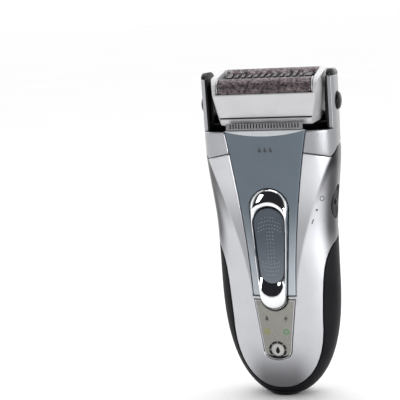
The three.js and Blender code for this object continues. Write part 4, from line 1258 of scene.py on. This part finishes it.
# ---- Finishes and softened edges on the CAD parts that stay -------------------------------
FINISHES = {
    "silver_cassette": CASSETTE, "steel": STEEL, "black_plastic": BLACK, "black_grip": GRIP,
    "silver_shell": SILVER,
    "chrome_trim": CHROME, "slate_panel": SLATE, "shaving_foil": FOIL, "display_window": LABEL,
    "display_label": LABEL, "yellow_light": YELLOW, "green_light": GREEN, "circuit_board": BOARD,
    "battery_sleeve": SLEEVE,
    "contact_metal": COPPER, "seal_rubber": RUBBER,
}
slot_of = {part["node"]: part["material_slot"] for part in frame["record"]["subparts"]}
SOFT_EDGES = {"centre_comb": 0.12, "head_carrier": 0.2, "trimmer_comb": 0.08,
              "station_contact_1": 0.3, "station_contact_2": 0.3}
SOFT_EDGES |= {f"{row}_foil_clip_{end}": 0.05 for row in ("front", "rear") for end in ("left", "right")}
SOFT_EDGES |= {f"housing_screw_{k + 1}": 0.12 for k in range(len(SCREWS))}
OWN_FINISHES = {"trimmer_comb": COMB_STEEL, "cassette_frame": FRAME_SILVER, "trimmer_blade": DARK_STEEL,
                "centre_comb": DARK_STEEL, "centre_blade": DARK_STEEL, "front_blade_row": DARK_STEEL,
                "rear_blade_row": DARK_STEEL}
for name, node in frame["nodes"].items():
    for place in node.material_slots:
        place.material = OWN_FINISHES.get(name, FINISHES[slot_of[name]])
    if name in SOFT_EDGES:
        bevel = node.modifiers.new("soft_edges", "BEVEL")
        bevel.width, bevel.segments, bevel.limit_method = SOFT_EDGES[name] * METRE, 3, "ANGLE"
        bevel.angle_limit = math.radians(30)
        bevel.harden_normals = True
        bevel.use_clamp_overlap = True

# ---- Floor, light and camera ------------------------------------------------------------
floor_mesh = bpy.data.meshes.new("floor")
floor_mesh.from_pydata([(-30, -30, 0), (30, -30, 0), (30, 30, 0), (-30, 30, 0)], [], [(0, 1, 2, 3)])
floor_finish = material("floor_paper", (0.93, 0.93, 0.93), 0.8, 0.0, (0.92, 0.92, 0.92), 3, 300, 0.01, 0.05)
floor_mesh.materials.append(floor_finish)
floor = bpy.data.objects.new("floor", floor_mesh)
bpy.context.scene.collection.objects.link(floor)


def lamp(name, place, target, size, power):
    data = bpy.data.lights.new(name, "AREA")
    data.shape, data.size, data.size_y = "RECTANGLE", size[0], size[1]
    data.energy = power
    light = bpy.data.objects.new(name, data)
    light.location = place
    light.rotation_euler = (Vector(target) - Vector(place)).to_track_quat("-Z", "Y").to_euler()
    bpy.context.scene.collection.objects.link(light)


lamp("key_left", (-0.75, -0.85, 0.6), (0, 0, 0.08), (0.35, 0.5), 2.6)
lamp("fill_right", (0.88, -0.66, 0.16), (0, 0, 0.07), (0.6, 0.28), 7.1)
lamp("top", (0.0, -0.25, 1.1), (0, 0, 0.08), (0.9, 0.5), 1.5)

# The studio is near black in front of the shaver and white behind it.
world = bpy.data.worlds.new("studio")
bpy.context.scene.world = world
world.use_nodes = True
sky = world.node_tree
sky_place = sky.nodes.new("ShaderNodeTexCoord")
sky_split = sky.nodes.new("ShaderNodeSeparateXYZ")
sky.links.new(sky_place.outputs["Generated"], sky_split.inputs["Vector"])
sky_ramp = sky.nodes.new("ShaderNodeValToRGB")
for element, position, color in zip(sky_ramp.color_ramp.elements, (0.30, 0.62),
                                    ((0.012, 0.012, 0.014, 1), (1, 1, 1, 1))):
    element.position, element.color = position, color
sky_range = sky.nodes.new("ShaderNodeMapRange")
sky_range.inputs["From Min"].default_value = -1
sky_range.inputs["From Max"].default_value = 1
sky.links.new(sky_split.outputs["Y"], sky_range.inputs["Value"])
sky.links.new(sky_range.outputs["Result"], sky_ramp.inputs["Fac"])
sky.links.new(sky_ramp.outputs["Color"], sky.nodes["Background"].inputs["Color"])
sky.nodes["Background"].inputs["Strength"].default_value = 1.8
bpy.context.scene.view_settings.view_transform = "Standard"

# The camera looks a little down from the right, rolled slightly. It aims left of the shaver and above
# its middle, by the angles ASIDE and OVER.
TURN, RISE, ROLL, REACH = math.radians(14.5), math.radians(10), math.radians(2.5), 0.600
TARGET, FOCAL_LENGTH = Vector((0, 0, 0.081)), 112.0
ASIDE, OVER = math.radians(3.645), math.radians(1.331)
AIM_OFFSET = Vector((math.tan(ASIDE), -math.tan(OVER), -1)).normalized()
back = Vector((math.sin(TURN) * math.cos(RISE), -math.cos(TURN) * math.cos(RISE), math.sin(RISE)))
ahead = -back
right = ahead.cross(Vector((0, 0, 1))).normalized()
above = right.cross(ahead)
roll_x, roll_y = math.cos(ROLL), math.sin(ROLL)
right, above = roll_x * right - roll_y * above, roll_y * right + roll_x * above
facing = Matrix((right, above, back)).transposed()
swing = (facing @ AIM_OFFSET).rotation_difference(ahead)
camera_data = bpy.data.cameras.new("camera")
camera_data.lens, camera_data.sensor_width = FOCAL_LENGTH, 36.0
camera = bpy.data.objects.new("camera", camera_data)
camera.matrix_world = Matrix.Translation(TARGET + back * REACH) @ (swing.to_matrix() @ facing).to_4x4()
bpy.context.scene.collection.objects.link(camera)
bpy.context.scene.camera = camera
